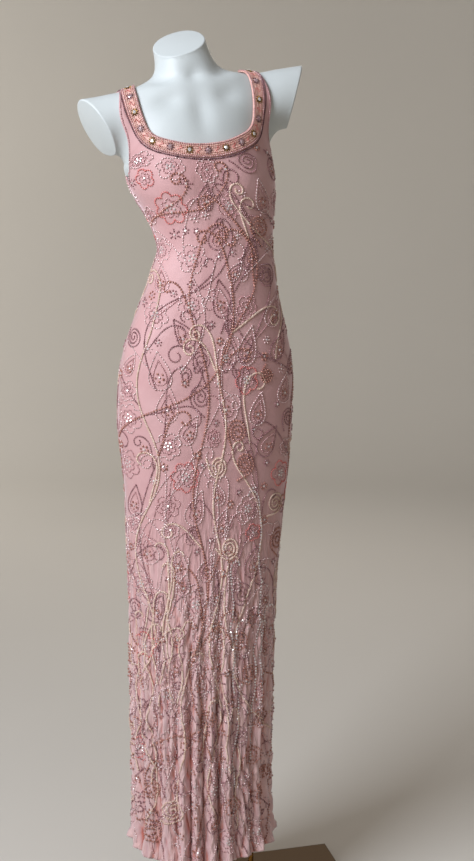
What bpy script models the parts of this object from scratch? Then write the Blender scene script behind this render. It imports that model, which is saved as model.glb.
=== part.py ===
"""A beaded chiffon evening dress on a white, limbless dress form with a gilt pole and base plate.

Metres, +Z up. The form faces -Y, so +X is the right-hand side of someone who looks at the front.
The origin is the middle of the base plate's underside, under the pole.

The figure is first an upright and symmetrical one in its own frame (x across, y to the back, height up).
Its surface comes from one table of sections, with the arm stumps joined on smoothly.
It is then posed: each height has its own sideways shift and its own tilt.
The cloth is a wall laid on that surface. Each piece is cut flat, from an outline whose coordinates are
the angle round the figure and the way up it, and the cut piece is laid on the surface.
"""

import math

import bmesh
import bpy
import numpy as np
from mathutils import Matrix, Vector
from mathutils.geometry import delaunay_2d_cdt

# Cloth
CLOTH_GAP = 0.0016  # between the form and the cloth that lies on it
SHOULDER_GAP = 0.0007  # the straps carry the dress, so they lie closer
SHOULDER_REACH = 0.03
CLOTH_WALL = 0.0018  # chiffon shell and its backing, with the beads sewn through them
BAND_WALL = 0.0024  # the beaded neckband is stiffer and thicker
SEAM_GAP = 0.0003  # between two pieces at a seam
HEM = 0.155  # height of the hem over the floor

# Way up the figure: the height itself up to the yoke, then an angle over the shoulder about a line across the chest
YOKE = 1.40
YOKE_RADIUS = 0.12  # metres of way up for each radian over the shoulder
SHOULDER_SEAM = YOKE + YOKE_RADIUS * math.pi / 2
ANGLE_RADIUS = 0.12  # metres across the flat outline for each radian round the figure

# Folds of the skirt
FOLD_COUNT = 21
FOLD_DEPTH = 0.0086  # half of a fold's height at the hem
FOLD_START = 0.74  # the folds die out on the thigh
FOLD_START_CHANGE = 0.09

# Neckband
BAND_WIDTH = 0.0230
NECK_SPACING = 0.0095  # between the points of the neckline, the same on both pieces
STONE_SPACING = 0.0305
STONE_RADIUS = 0.0042
STONE_HEIGHT = 0.0022
STONE_SIDES = 6

# Cells of the flat pieces: the folds need narrow columns, the close-fitting cloth wide ones
SKIRT_COLUMNS = 60
SKIRT_ROWS = (0.155, 0.170, 0.190, 0.218, 0.262, 0.330, 0.410, 0.500, 0.585, 0.660)  # close together at the flare
SKIRT_TOP = 0.660
HIP_COLUMNS = 22
HIP_ROWS = 12
HIP_TOP = 1.125
BODICE_COLUMNS = 27
BODICE_ROW = 0.0215

# Dress form
NECK_CUT_HEIGHT = 1.614
NECK_CUT_FORWARD = math.radians(27)
NECK_CUT_SIDEWAYS = math.radians(10)
ARM_CUT_TOP = {"left": (-0.191, 1.548), "right": (0.212, 1.548)}  # across, height
ARM_CUT_BOTTOM = {"left": (-0.148, 1.446), "right": (0.172, 1.446)}
ARM_CUT_FORWARD = math.radians(13.5)
ARM_AXIS_HEIGHT = 1.4965
ARM_HALF_HEIGHT = 0.0510
ARM_ROOT = (0.118, 1.395)
ARM_TILT = 10.5  # degrees by which the line of the arm stumps is raised on the right
ARM_HALF_DEPTH = 0.0475
ARM_BLEND = 0.030
FORM_BOTTOM = 0.785
FORM_CELL = (0.0194, 0.0186)  # the net's cells: across, deep
FORM_CELL_HIGH = {"under": 0.0255, "over": 0.0195}  # under and over the level of the armholes
FORM_CELL_CHANGE = 1.345
BUST_POINT = (0.064, 1.372)
BUST_DEPTH = 0.0125
BUST_SPREAD = (0.046, 0.044)

# Stand
BASE_SIZE = (0.420, 0.345, 0.008)
BASE_EDGE = 0.0012
COLLAR_RADIUS = 0.016
COLLAR_HEIGHT = 0.014
POLE_RADIUS = 0.005
FLANGE_RADIUS = 0.024
FLANGE_HEIGHT = 0.010
POLE_SIDES = 24
REST_GAP = 0.0003

# Half widths and depths of the figure. Under the form's bottom they are the skirt's, in the middle of its folds.
FIGURE_SECTIONS = {
    "height": (0.150, 0.170, 0.190, 0.215, 0.250, 0.330, 0.410, 0.490, 0.565, 0.640, 0.680, 0.715, 0.755,
               0.790, 0.828, 0.865, 0.902, 0.939, 0.976, 1.012, 1.048, 1.084, 1.120, 1.156, 1.191, 1.226,
               1.262, 1.296, 1.331, 1.366, 1.400, 1.435, 1.469, 1.500, 1.528, 1.545, 1.555, 1.562, 1.575,
               1.590, 1.613, 1.720),
    "side": (0.1300, 0.1250, 0.1215, 0.1195, 0.1190, 0.1215, 0.1248, 0.1270, 0.1290, 0.1322, 0.1338, 0.1372,
             0.1398, 0.1415, 0.1445, 0.1474, 0.1508, 0.1550, 0.1561, 0.1552, 0.1532, 0.1479, 0.1382, 0.1260,
             0.1150, 0.1072, 0.0990, 0.1036, 0.1130, 0.1246, 0.1276, 0.1290, 0.1285, 0.1255, 0.1150, 0.0960,
             0.0740, 0.0620, 0.0525, 0.0480, 0.0455, 0.0440),
    "front": (0.1030, 0.0990, 0.0965, 0.0950, 0.0945, 0.0945, 0.0950, 0.0950, 0.0950, 0.0945, 0.0940, 0.0932,
              0.0930, 0.0935, 0.0945, 0.0955, 0.0970, 0.0980, 0.0982, 0.0978, 0.0970, 0.0955, 0.0932, 0.0900,
              0.0865, 0.0825, 0.0790, 0.0792, 0.0820, 0.0855, 0.0880, 0.0885, 0.0845, 0.0750, 0.0640, 0.0575,
              0.0530, 0.0510, 0.0495, 0.0485, 0.0480, 0.0480),
    "back": (0.1150, 0.1110, 0.1085, 0.1070, 0.1065, 0.1060, 0.1060, 0.1055, 0.1045, 0.1035, 0.1025, 0.1015,
             0.1015, 0.1030, 0.1065, 0.1095, 0.1130, 0.1160, 0.1175, 0.1165, 0.1140, 0.1095, 0.1030, 0.0945,
             0.0865, 0.0795, 0.0745, 0.0755, 0.0785, 0.0820, 0.0855, 0.0880, 0.0885, 0.0860, 0.0790, 0.0730,
             0.0660, 0.0610, 0.0550, 0.0510, 0.0490, 0.0480),
}

# How the figure stands: where its middle is, over the base plate, and how far its right side is raised.
STANCE = {
    "height": (0.150, 0.400, 0.565, 0.715, 0.865, 0.976, 1.084, 1.156, 1.226, 1.262, 1.296, 1.366, 1.435,
               1.500, 1.555, 1.613, 1.720),
    "across": (-0.0942, -0.0942, -0.0932, -0.0907, -0.0857, -0.0857, -0.0822, -0.0782, -0.0708, -0.0677,
               -0.0712, -0.0882, -0.1022, -0.1100, -0.1170, -0.1310, -0.1560),
    "tilt": (0.0, 0.0, 0.0, 0.0, 0.0, 0.0, 0.0, 0.0, 0.0, 0.0, 0.5, 2.0, 5.0, 7.5, 10.0, 11.0, 11.0),
}

# The neckline and the armhole, on one half of the front and of the back: degrees round, degrees over the shoulder.
# Degrees under zero lie below the yoke, by the same length for each degree.
FRONT_NECKLINE = ((0.0, 21.6), (11.4, 22.3), (22.4, 24.6), (32.6, 29.8), (40.2, 36.8), (43.3, 46.0),
                  (41.0, 58.0), (35.0, 74.0), (31.0, 90.0))
BACK_NECKLINE = ((0.0, 33.0), (12.0, 33.6), (23.0, 36.0), (31.0, 41.0), (35.0, 49.0), (36.0, 60.0),
                 (34.0, 74.0), (31.0, 90.0))
FRONT_ARMHOLE = ((38.3, 90.0), (44.8, 74.0), (57.2, 58.0), (69.8, 42.0), (76.8, 24.0), (79.3, 9.0),
                 (82.0, -1.0), (85.3, -7.0), (90.0, -9.0))
BACK_ARMHOLE = ((38.3, 90.0), (44.5, 74.0), (53.5, 58.0), (63.0, 42.0), (70.0, 24.0), (75.6, 8.0),
                (80.0, -1.0), (84.5, -7.0), (90.0, -9.0))

FRONT = -1.0
BACK = 1.0


def along(table, column, where):
    """A smooth curve through one column of a table, read at the given heights."""
    known = np.array(table["height"])
    values = np.array(table[column])
    steps = np.diff(values) / np.diff(known)
    slopes = np.empty(len(values))
    slopes[0] = steps[0]
    slopes[-1] = steps[-1]
    left = np.diff(known)[:-1]
    right = np.diff(known)[1:]
    slopes[1:-1] = (steps[:-1] * right + steps[1:] * left) / (left + right)
    at = np.clip(where, known[0], known[-1])
    index = np.clip(np.searchsorted(known, at) - 1, 0, len(known) - 2)
    span = known[index + 1] - known[index]
    part = (at - known[index]) / span
    start_share = (1 + 2 * part) * (1 - part) ** 2
    start_slope = part * (1 - part) ** 2 * span
    end_share = part**2 * (3 - 2 * part)
    end_slope = part**2 * (part - 1) * span
    return (start_share * values[index] + start_slope * slopes[index]
            + end_share * values[index + 1] + end_slope * slopes[index + 1])


def figure_radius(angle, height):
    """From the figure's upright axis to its surface, arm stumps left out. Angle zero is the middle of the front."""
    side = along(FIGURE_SECTIONS, "side", height)
    front = along(FIGURE_SECTIONS, "front", height)
    back = along(FIGURE_SECTIONS, "back", height)
    forward = np.cos(angle)
    across = np.sin(angle)
    deep = np.where(forward > 0, front, back)
    power = 2.15
    radius = (np.abs(across / side) ** power + np.abs(forward / deep) ** power) ** (-1 / power)
    bust = np.zeros_like(radius)
    for point in (-BUST_POINT[0], BUST_POINT[0]):
        aside = (radius * across - point) / BUST_SPREAD[0]
        above = (height - BUST_POINT[1]) / BUST_SPREAD[1]
        bust = bust + np.exp(-aside**2 - above**2)
    return radius + BUST_DEPTH * bust * np.clip(forward, 0, 1)


def figure_field(point):
    """Negative inside the whole figure with its arm stumps, positive outside."""
    x, y, height = point[..., 0], point[..., 1], point[..., 2]
    body = np.hypot(x, y) - figure_radius(np.arctan2(x, -y), height)
    up = (height - ARM_AXIS_HEIGHT) / ARM_HALF_HEIGHT
    deep = (y - 0.004) / ARM_HALF_DEPTH
    arm = (np.sqrt(up**2 + deep**2) - 1) * ARM_HALF_DEPTH
    arm = np.where(np.abs(x) < 0.045, arm + 2 * (0.045 - np.abs(x)), arm)
    share = np.clip(0.5 + 0.5 * (arm - body) / ARM_BLEND, 0, 1)
    return arm * (1 - share) + body * share - ARM_BLEND * share * (1 - share)


def field_normal(point):
    step = 0.0005
    slope = np.empty_like(point)
    for axis in range(3):
        shift = np.zeros(3)
        shift[axis] = step
        slope[..., axis] = figure_field(point + shift) - figure_field(point - shift)
    return slope / np.linalg.norm(slope, axis=-1, keepdims=True)


def figure_point(angle, way, face):
    """The point of the figure's surface at an angle round it and a way up it, on the front or the back."""
    over = np.clip((way - YOKE) / YOKE_RADIUS, 0, None)
    direction = np.stack(
        [np.sin(angle), face * np.cos(angle) * np.cos(over), np.cos(angle) * np.sin(over)], axis=-1
    )
    start = np.stack([np.zeros_like(angle), np.zeros_like(angle), np.minimum(way, YOKE)], axis=-1)
    near = np.full(angle.shape, 0.01)
    far = np.full(angle.shape, 0.24)
    for _ in range(30):
        middle = (near + far) / 2
        inside = figure_field(start + direction * middle[..., None]) < 0
        near = np.where(inside, middle, near)
        far = np.where(inside, far, middle)
    return start + direction * near[..., None]


def angle_and_way(point):
    """Which angle and way up lead to this point."""
    x, y, height = point[..., 0], point[..., 1], point[..., 2]
    depth = np.abs(y)
    over = np.where(height > YOKE, np.arctan2(height - YOKE, depth), 0)
    distance = np.sqrt(x**2 + depth**2 + np.clip(height - YOKE, 0, None) ** 2)
    return np.arcsin(x / distance), np.where(height > YOKE, YOKE + YOKE_RADIUS * over, height)


def fold_offset(round_angle, height):
    """How far a fold of the skirt stands out from the middle of the cloth, or lies in."""
    turn = FOLD_COUNT * round_angle + 1.1 * np.sin(2 * round_angle + 0.7) + 0.8 * np.sin(5 * round_angle + 2.1)
    ridge = ((1 + np.cos(turn)) / 2) ** 0.75
    start = FOLD_START + FOLD_START_CHANGE * np.sin(3 * round_angle + 0.4) * np.sin(7 * round_angle + 1.0)
    down = np.clip((start - height) / (FOLD_START - HEM), 0, 1.2)
    strength = 1 + 0.28 * np.sin(4 * round_angle + 2.6) + 0.16 * np.sin(9 * round_angle)
    return FOLD_DEPTH * strength * down**1.25 * (2 * ridge - 1.1)


def pose(point):
    height = point[..., 2]
    tilt = along(STANCE, "tilt", height)
    arm = np.clip((np.abs(point[..., 0]) - 0.120) / 0.045, 0, 1) * np.clip((height - 1.37) / 0.05, 0, 1)
    tilt = np.radians(tilt + (ARM_TILT - tilt) * arm**2 * (3 - 2 * arm))
    across = along(STANCE, "across", height)
    return np.stack(
        [across + point[..., 0] * np.cos(tilt), point[..., 1], height + point[..., 0] * np.sin(tilt)], axis=-1
    )


def cloth_middle(angle, way, face, wall):
    """The posed middle of a cloth wall that lies on the figure."""
    base = figure_point(angle, way, face)
    fold = fold_offset(np.arctan2(base[..., 0], -base[..., 1]), base[..., 2])
    below = np.clip((SHOULDER_SEAM - way) / SHOULDER_REACH, 0, 1)
    gap = SHOULDER_GAP + (CLOTH_GAP - SHOULDER_GAP) * below
    lift = gap + wall / 2 + np.where(way < YOKE, fold, 0)
    return pose(base + field_normal(base) * lift[..., None])


def cloth_layers(flat, face, wall, raised):
    """Inner and outer points of a cut piece, from its flat points."""
    angle = flat[:, 0] / ANGLE_RADIUS
    way = flat[:, 1]
    step = 0.0004
    middle = cloth_middle(angle, way, face, wall)
    round_step = cloth_middle(angle + step / 0.12, way, face, wall) - cloth_middle(angle - step / 0.12, way, face, wall)
    up_step = cloth_middle(angle, way + step, face, wall) - cloth_middle(angle, way - step, face, wall)
    normal = np.cross(round_step, up_step) * (1 if face == FRONT else -1)
    normal /= np.linalg.norm(normal, axis=1, keepdims=True)
    return middle - normal * wall / 2, middle + normal * (wall / 2 + raised[:, None])


def smooth_curve(points, spacing):
    """Evenly spaced points on a smooth curve through the given ones."""
    known = np.array(points)
    ends = np.vstack([2 * known[0] - known[1], known, 2 * known[-1] - known[-2]])
    fine = []
    for index in range(len(known) - 1):
        before, start, end, after = ends[index:index + 4]
        for part in np.linspace(0, 1, 24, endpoint=False):
            fine.append(
                0.5 * (2 * start + (end - before) * part + (2 * before - 5 * start + 4 * end - after) * part**2
                       + (3 * start - before - 3 * end + after) * part**3)
            )
    fine.append(known[-1])
    fine = np.array(fine)
    length = np.concatenate([[0], np.cumsum(np.linalg.norm(np.diff(fine, axis=0), axis=1))])
    count = max(2, round(length[-1] / spacing) + 1)
    even = np.linspace(0, length[-1], count)
    return np.stack([np.interp(even, length, fine[:, axis]) for axis in range(fine.shape[1])], axis=1)


def edge_curve(degrees, spacing):
    """A neckline's or armhole's flat curve on the figure's right-hand half."""
    points = []
    for around, over in degrees:
        points.append((math.radians(around) * ANGLE_RADIUS, YOKE + math.radians(over) * YOKE_RADIUS))
    return smooth_curve(points, spacing)


def beside(curve, face, distance):
    """The curve moved sideways over the surface, away from the neck."""
    at = figure_point(curve[:, 0] / ANGLE_RADIUS, curve[:, 1], face)
    normal = field_normal(at)
    along_curve = np.gradient(at, axis=0)
    aside = np.cross(normal, along_curve) * face
    aside /= np.linalg.norm(aside, axis=1, keepdims=True)
    aside[-1] = (1, 0, 0)
    aside[0, 0] = 0
    angle, way = angle_and_way(at + aside * distance)
    moved = np.stack([angle * ANGLE_RADIUS, way], axis=1)
    moved[-1, 1] = SHOULDER_SEAM
    return moved


def both_sides(half):
    """A curve from the left shoulder over the middle to the right one, from its right-hand half."""
    mirrored = half[::-1].copy()
    mirrored[:, 0] *= -1
    return np.vstack([mirrored[:-1], half])


def in_outline(points, outline):
    inside = np.zeros(len(points), bool)
    x, y = points[:, 0], points[:, 1]
    for (x0, y0), (x1, y1) in zip(outline, np.roll(outline, -1, axis=0)):
        crosses = (y0 > y) != (y1 > y)
        if y0 != y1:
            inside ^= crosses & (x < (x1 - x0) * (y - y0) / (y1 - y0) + x0)
    return inside


def outline_distance(points, outline):
    distance = np.full(len(points), 1.0)
    for start, end in zip(outline, np.roll(outline, -1, axis=0)):
        line = end - start
        part = np.clip(((points - start) @ line) / max(line @ line, 1e-12), 0, 1)
        nearest = start + part[:, None] * line
        distance = np.minimum(distance, np.linalg.norm(points - nearest, axis=1))
    return distance


def flat_grid(columns, rows, outline, clear):
    """Grid points inside an outline and clear of its edge."""
    points = np.array([(x, y) for y in rows for x in columns])
    points = points[in_outline(points, outline)]
    return points[outline_distance(points, outline) > clear]


def cloth_piece(name, outline, inner_points, face, wall, raised_by=None):
    """A closed wall from a flat outline and the points inside it."""
    flat = np.vstack([outline, inner_points])
    loop = list(range(len(outline)))
    found = delaunay_2d_cdt([Vector(p) for p in flat.tolist()], [], [loop], 1, 1e-7)
    flat = np.array([tuple(p) for p in found[0]])
    triangles = [tuple(t) for t in found[2]]
    raised = np.zeros(len(flat))
    if raised_by is not None:
        raised = raised_by(flat)
    inner, outer = cloth_layers(flat, face, wall, raised)
    mesh = bmesh.new()
    inner_verts = [mesh.verts.new(p) for p in inner]
    outer_verts = [mesh.verts.new(p) for p in outer]
    edges = {}
    for a, b, c in triangles:
        mesh.faces.new((outer_verts[a], outer_verts[b], outer_verts[c]))
        mesh.faces.new((inner_verts[c], inner_verts[b], inner_verts[a]))
        for start, end in ((a, b), (b, c), (c, a)):
            edges[(start, end)] = (end, start)
    for (start, end), back in edges.items():
        if back not in edges:
            mesh.faces.new((outer_verts[end], outer_verts[start], inner_verts[start]))
            mesh.faces.new((outer_verts[end], inner_verts[start], inner_verts[end]))
    return add_object(name, mesh)


def add_object(name, mesh):
    """Finishes a mesh, faces outwards, and puts it in the scene."""
    loose = [v for v in mesh.verts if not v.link_faces]
    bmesh.ops.delete(mesh, geom=loose, context="VERTS")
    bmesh.ops.triangulate(mesh, faces=mesh.faces[:], quad_method="BEAUTY", ngon_method="BEAUTY")
    bmesh.ops.recalc_face_normals(mesh, faces=mesh.faces[:])
    if mesh.calc_volume(signed=True) < 0:
        bmesh.ops.reverse_faces(mesh, faces=mesh.faces[:])
    data = bpy.data.meshes.new(name)
    mesh.to_mesh(data)
    mesh.free()
    made = bpy.data.objects.new(name, data)
    bpy.context.scene.collection.objects.link(made)
    return made


def panel(name, face, neckline, armhole):
    """The front or back of the dress: bodice, shoulder strips and skirt in one, side seam to side seam."""
    side = ANGLE_RADIUS * math.pi / 2 - SEAM_GAP / 2 * ANGLE_RADIUS / 0.115
    top = SHOULDER_SEAM - SEAM_GAP / 2 * YOKE_RADIUS / 0.155
    arm = edge_curve(armhole, 0.012)[::-1]
    arm[0, 0] = side
    arm[-1, 1] = top
    neck = beside(edge_curve(neckline, NECK_SPACING), face, BAND_WIDTH + SEAM_GAP)
    neck[-1, 1] = top
    skirt_rows = np.array(SKIRT_ROWS)
    hip_rows = np.linspace(SKIRT_TOP, HIP_TOP, HIP_ROWS + 1)[1:]
    bodice_rows = np.arange(HIP_TOP + BODICE_ROW, SHOULDER_SEAM, BODICE_ROW)
    seam_rows = np.concatenate([skirt_rows, hip_rows, bodice_rows[bodice_rows < arm[0, 1] - 0.008]])
    seam = np.stack([np.full(len(seam_rows), side), seam_rows], axis=1)
    right = np.vstack([seam, arm, neck[::-1]])
    left = right[::-1].copy()
    left[:, 0] *= -1
    skirt_columns = np.linspace(-side, side, SKIRT_COLUMNS + 1)
    hem = np.stack([skirt_columns[1:-1], np.full(SKIRT_COLUMNS - 1, HEM)], axis=1)
    outline = np.vstack([right, left[:-1], hem])
    skirt = flat_grid(skirt_columns, skirt_rows[1:], outline, 0.002)
    hips = flat_grid(np.linspace(-side, side, HIP_COLUMNS + 1), hip_rows, outline, 0.006)
    bodice = flat_grid(np.linspace(-side, side, BODICE_COLUMNS + 1), bodice_rows, outline, 0.0055)
    return cloth_piece(name, outline, np.vstack([skirt, hips, bodice]), face, CLOTH_WALL)


def neckband(name, face, neckline):
    """The stiff beaded band round the neck, with its large stones raised from the outside."""
    top = SHOULDER_SEAM - SEAM_GAP / 2 * YOKE_RADIUS / 0.155
    half = edge_curve(neckline, NECK_SPACING)
    inner = half.copy()
    inner[-1, 1] = top
    outer = beside(half, face, BAND_WIDTH)
    outer[-1, 1] = top
    outline = np.vstack([both_sides(inner), both_sides(outer)[::-1]])
    middle = both_sides(beside(half, face, BAND_WIDTH / 2))
    real = figure_point(middle[:, 0] / ANGLE_RADIUS, middle[:, 1], face)
    length = np.concatenate([[0], np.cumsum(np.linalg.norm(np.diff(real, axis=0), axis=1))])
    count = round(length[-1] / STONE_SPACING)
    places = (np.arange(count) + 0.5) * length[-1] / count
    stones = np.stack([np.interp(places, length, real[:, axis]) for axis in range(3)], axis=1)
    tops = []
    feet = []
    for stone, place in zip(stones, places):
        normal = field_normal(stone[None])[0]
        ahead = np.array([np.interp(place + 0.002, length, real[:, axis]) for axis in range(3)]) - stone
        ahead /= np.linalg.norm(ahead)
        aside = np.cross(normal, ahead)
        tops.append(stone)
        for index in range(STONE_SIDES):
            turn = 2 * math.pi * index / STONE_SIDES
            out = ahead * math.cos(turn) + aside * math.sin(turn)
            tops.append(stone + out * STONE_RADIUS * 0.62)
            feet.append(stone + out * STONE_RADIUS)
    top_angle, top_way = angle_and_way(np.array(tops))
    foot_angle, foot_way = angle_and_way(np.array(feet))
    top_flat = np.stack([top_angle * ANGLE_RADIUS, top_way], axis=1)
    foot_flat = np.stack([foot_angle * ANGLE_RADIUS, foot_way], axis=1)

    def raised_by(flat):
        nearest = np.full(len(flat), 1.0)
        for point in top_flat:
            nearest = np.minimum(nearest, np.linalg.norm(flat - point, axis=1))
        return np.where(nearest < 1e-5, STONE_HEIGHT, 0.0)

    return cloth_piece(name, outline, np.vstack([top_flat, foot_flat]), face, BAND_WALL, raised_by)


def figure_net():
    """The figure's surface as a net of four-sided faces, one corner for each cell that the surface crosses."""
    low = np.array([-0.262, -0.135, FORM_BOTTOM - 0.030])
    high = np.array([0.262, 0.145, NECK_CUT_HEIGHT + 0.075])
    axes = []
    for axis in (0, 1):
        axes.append(np.linspace(low[axis], high[axis], round((high[axis] - low[axis]) / FORM_CELL[axis]) + 1))
    under = np.arange(FORM_CELL_CHANGE, low[2] - FORM_CELL_HIGH["under"], -FORM_CELL_HIGH["under"])[::-1]
    over = np.arange(FORM_CELL_CHANGE, high[2] + FORM_CELL_HIGH["over"], FORM_CELL_HIGH["over"])
    axes.append(np.concatenate([under, over[1:]]))
    counts = np.array([len(axis) - 1 for axis in axes])
    grid = np.stack(np.meshgrid(*axes, indexing="ij"), axis=-1)
    field = figure_field(grid)
    field[0], field[-1], field[:, :, 0], field[:, :, -1] = 1.0, 1.0, 1.0, 1.0
    inside = field < 0
    total = np.zeros(tuple(counts) + (3,))
    hits = np.zeros(tuple(counts))
    cell = [slice(0, n) for n in counts]
    for axis in range(3):
        others = [other for other in range(3) if other != axis]
        for first in (0, 1):
            for second in (0, 1):
                place = [None, None, None]
                place[axis] = cell[axis]
                place[others[0]] = slice(first, counts[others[0]] + first)
                place[others[1]] = slice(second, counts[others[1]] + second)
                after = list(place)
                after[axis] = slice(1, counts[axis] + 1)
                a, b = field[tuple(place)], field[tuple(after)]
                crossed = (a < 0) != (b < 0)
                part = np.where(crossed, a / np.where(crossed, a - b, 1), 0)
                start, end = grid[tuple(place)], grid[tuple(after)]
                total += np.where(crossed[..., None], start + (end - start) * part[..., None], 0)
                hits += crossed
    used = hits > 0
    corners = total[used] / hits[used][:, None]
    for _ in range(4):
        value = figure_field(corners)
        step = 0.0005
        slope = np.empty_like(corners)
        for axis in range(3):
            shift = np.zeros(3)
            shift[axis] = step
            slope[:, axis] = (figure_field(corners + shift) - figure_field(corners - shift)) / (2 * step)
        free = (corners[:, 2] > axes[2][1]) & (corners[:, 2] < axes[2][-2]) & (np.abs(corners[:, 0]) < axes[0][-2])
        moved = value / np.maximum((slope**2).sum(axis=1), 0.25)
        corners = corners - slope * np.where(free, moved, 0)[:, None]
    number = np.full(tuple(counts), -1)
    number[used] = np.arange(used.sum())
    faces = []
    for axis in range(3):
        second, third = (axis + 1) % 3, (axis + 2) % 3
        before = [slice(None)] * 3
        after = [slice(None)] * 3
        before[axis], after[axis] = slice(0, -1), slice(1, None)
        crossed = inside[tuple(before)] != inside[tuple(after)]
        for place in np.argwhere(crossed):
            if place[second] == 0 or place[third] == 0:
                continue
            if place[second] == counts[second] or place[third] == counts[third]:
                continue
            corner = []
            for back_second, back_third in ((0, 0), (1, 0), (1, 1), (0, 1)):
                spot = place.copy()
                spot[second] -= back_second
                spot[third] -= back_third
                corner.append(number[tuple(spot)])
            faces.append(corner)
    return corners, faces


def cut_flat(mesh, point, normal, beyond=None):
    """Cuts a closed mesh with a plane, drops what the normal points at and closes the cut.

    With beyond = (side, across, height), only the faces past that place on that side are cut.
    """
    faces = mesh.faces[:]
    if beyond is not None:
        side, across, height = beyond
        faces = [f for f in faces if min(v.co.z for v in f.verts) > height]
        faces = [f for f in faces if min(side * v.co.x for v in f.verts) > across]
    verts = list({v for f in faces for v in f.verts})
    edges = list({e for f in faces for e in f.edges})
    bmesh.ops.bisect_plane(
        mesh, geom=verts + edges + faces, dist=1e-5, plane_co=point, plane_no=normal, clear_outer=True
    )
    rim = [edge for edge in mesh.edges if edge.is_boundary]
    bmesh.ops.edgeloop_fill(mesh, edges=rim)


def dress_form():
    """Torso with a neck stump and arm stumps, each cut flat, down to a flat bottom on the thighs."""
    corners, faces = figure_net()
    mesh = bmesh.new()
    verts = [mesh.verts.new(p) for p in corners]
    for face in faces:
        if len(set(face)) == 4:
            mesh.faces.new([verts[index] for index in face])
    bmesh.ops.recalc_face_normals(mesh, faces=mesh.faces[:])
    for side, sign in (("left", -1), ("right", 1)):
        top, bottom = ARM_CUT_TOP[side], ARM_CUT_BOTTOM[side]
        outward = Vector((sign * (top[1] - bottom[1]), 0, -sign * (top[0] - bottom[0]))).normalized()
        turned_outward = Matrix.Rotation(-sign * ARM_CUT_FORWARD, 3, "Z") @ outward
        cut_flat(mesh, (top[0], 0, top[1]), turned_outward, (sign, ARM_ROOT[0], ARM_ROOT[1]))
    tipped = Matrix.Rotation(-NECK_CUT_SIDEWAYS, 3, "Y") @ Matrix.Rotation(NECK_CUT_FORWARD, 3, "X")
    cut_flat(mesh, (0, 0, NECK_CUT_HEIGHT), tipped @ Vector((0, 0, 1)))
    cut_flat(mesh, (0, 0, FORM_BOTTOM), Vector((0, 0, -1)))
    bmesh.ops.remove_doubles(mesh, verts=mesh.verts[:], dist=0.0012)
    bmesh.ops.dissolve_degenerate(mesh, edges=mesh.edges[:], dist=0.0004)
    placed = pose(np.array([tuple(v.co) for v in mesh.verts]))
    for vert, place in zip(mesh.verts, placed):
        vert.co = place
    return add_object("form_torso", mesh)


def turned(name, profile, sides):
    """A solid turned about the pole's line from (radius, height) pairs."""
    mesh = bmesh.new()
    rings = []
    for radius, height in profile:
        ring = []
        for index in range(sides):
            turn = 2 * math.pi * index / sides
            ring.append(mesh.verts.new((radius * math.cos(turn), radius * math.sin(turn), height)))
        rings.append(ring)
    for lower, upper in zip(rings, rings[1:]):
        for index in range(sides):
            following = (index + 1) % sides
            mesh.faces.new((lower[index], lower[following], upper[following], upper[index]))
    mesh.faces.new(rings[0][::-1])
    mesh.faces.new(rings[-1])
    return add_object(name, mesh)


def stand():
    """Gilt base plate and pole, with a collar on the plate and a flange under the form."""
    mesh = bmesh.new()
    bmesh.ops.create_cube(mesh, size=1)
    bmesh.ops.scale(mesh, vec=BASE_SIZE, verts=mesh.verts[:])
    bmesh.ops.translate(mesh, vec=(0, 0, BASE_SIZE[2] / 2), verts=mesh.verts[:])
    bmesh.ops.bevel(mesh, geom=mesh.edges[:], offset=BASE_EDGE, segments=2, profile=0.5, affect="EDGES")
    add_object("form_base", mesh)
    foot = BASE_SIZE[2] + REST_GAP
    head = FORM_BOTTOM - REST_GAP
    profile = (
        (COLLAR_RADIUS, foot),
        (COLLAR_RADIUS, foot + COLLAR_HEIGHT - 0.002),
        (COLLAR_RADIUS - 0.002, foot + COLLAR_HEIGHT),
        (POLE_RADIUS, foot + COLLAR_HEIGHT),
        (POLE_RADIUS, head - FLANGE_HEIGHT),
        (FLANGE_RADIUS - 0.002, head - FLANGE_HEIGHT),
        (FLANGE_RADIUS, head - FLANGE_HEIGHT + 0.002),
        (FLANGE_RADIUS, head),
    )
    turned("form_pole", profile, POLE_SIDES)


def main():
    for old in list(bpy.data.objects):
        bpy.data.objects.remove(old, do_unlink=True)
    dress_form()
    stand()
    panel("panel_front", FRONT, FRONT_NECKLINE, FRONT_ARMHOLE)
    panel("panel_back", BACK, BACK_NECKLINE, BACK_ARMHOLE)
    neckband("neckband_front", FRONT, FRONT_NECKLINE)
    neckband("neckband_back", BACK, BACK_NECKLINE)


main()
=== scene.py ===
# %% [markdown]
# # A beaded chiffon evening dress on a dress form
#
# The real thing is a long sleeveless gown of crinkled silk chiffon over a matching ground, cut close to the knee
# and falling into many soft folds below it. Vines, spirals and flowers of glass beads are sewn all over it, and a
# stiff beaded band with set stones runs round the neck. It hangs on a white plastic dress form on a gilt pole.
#
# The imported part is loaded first. It is the fixed frame: every piece made here sits on it or stands for one of its
# cloth solids.

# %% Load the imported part
import math

import bmesh
import bpy
import numpy as np
from mathutils import Matrix, Vector
from mathutils.geometry import delaunay_2d_cdt


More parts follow.
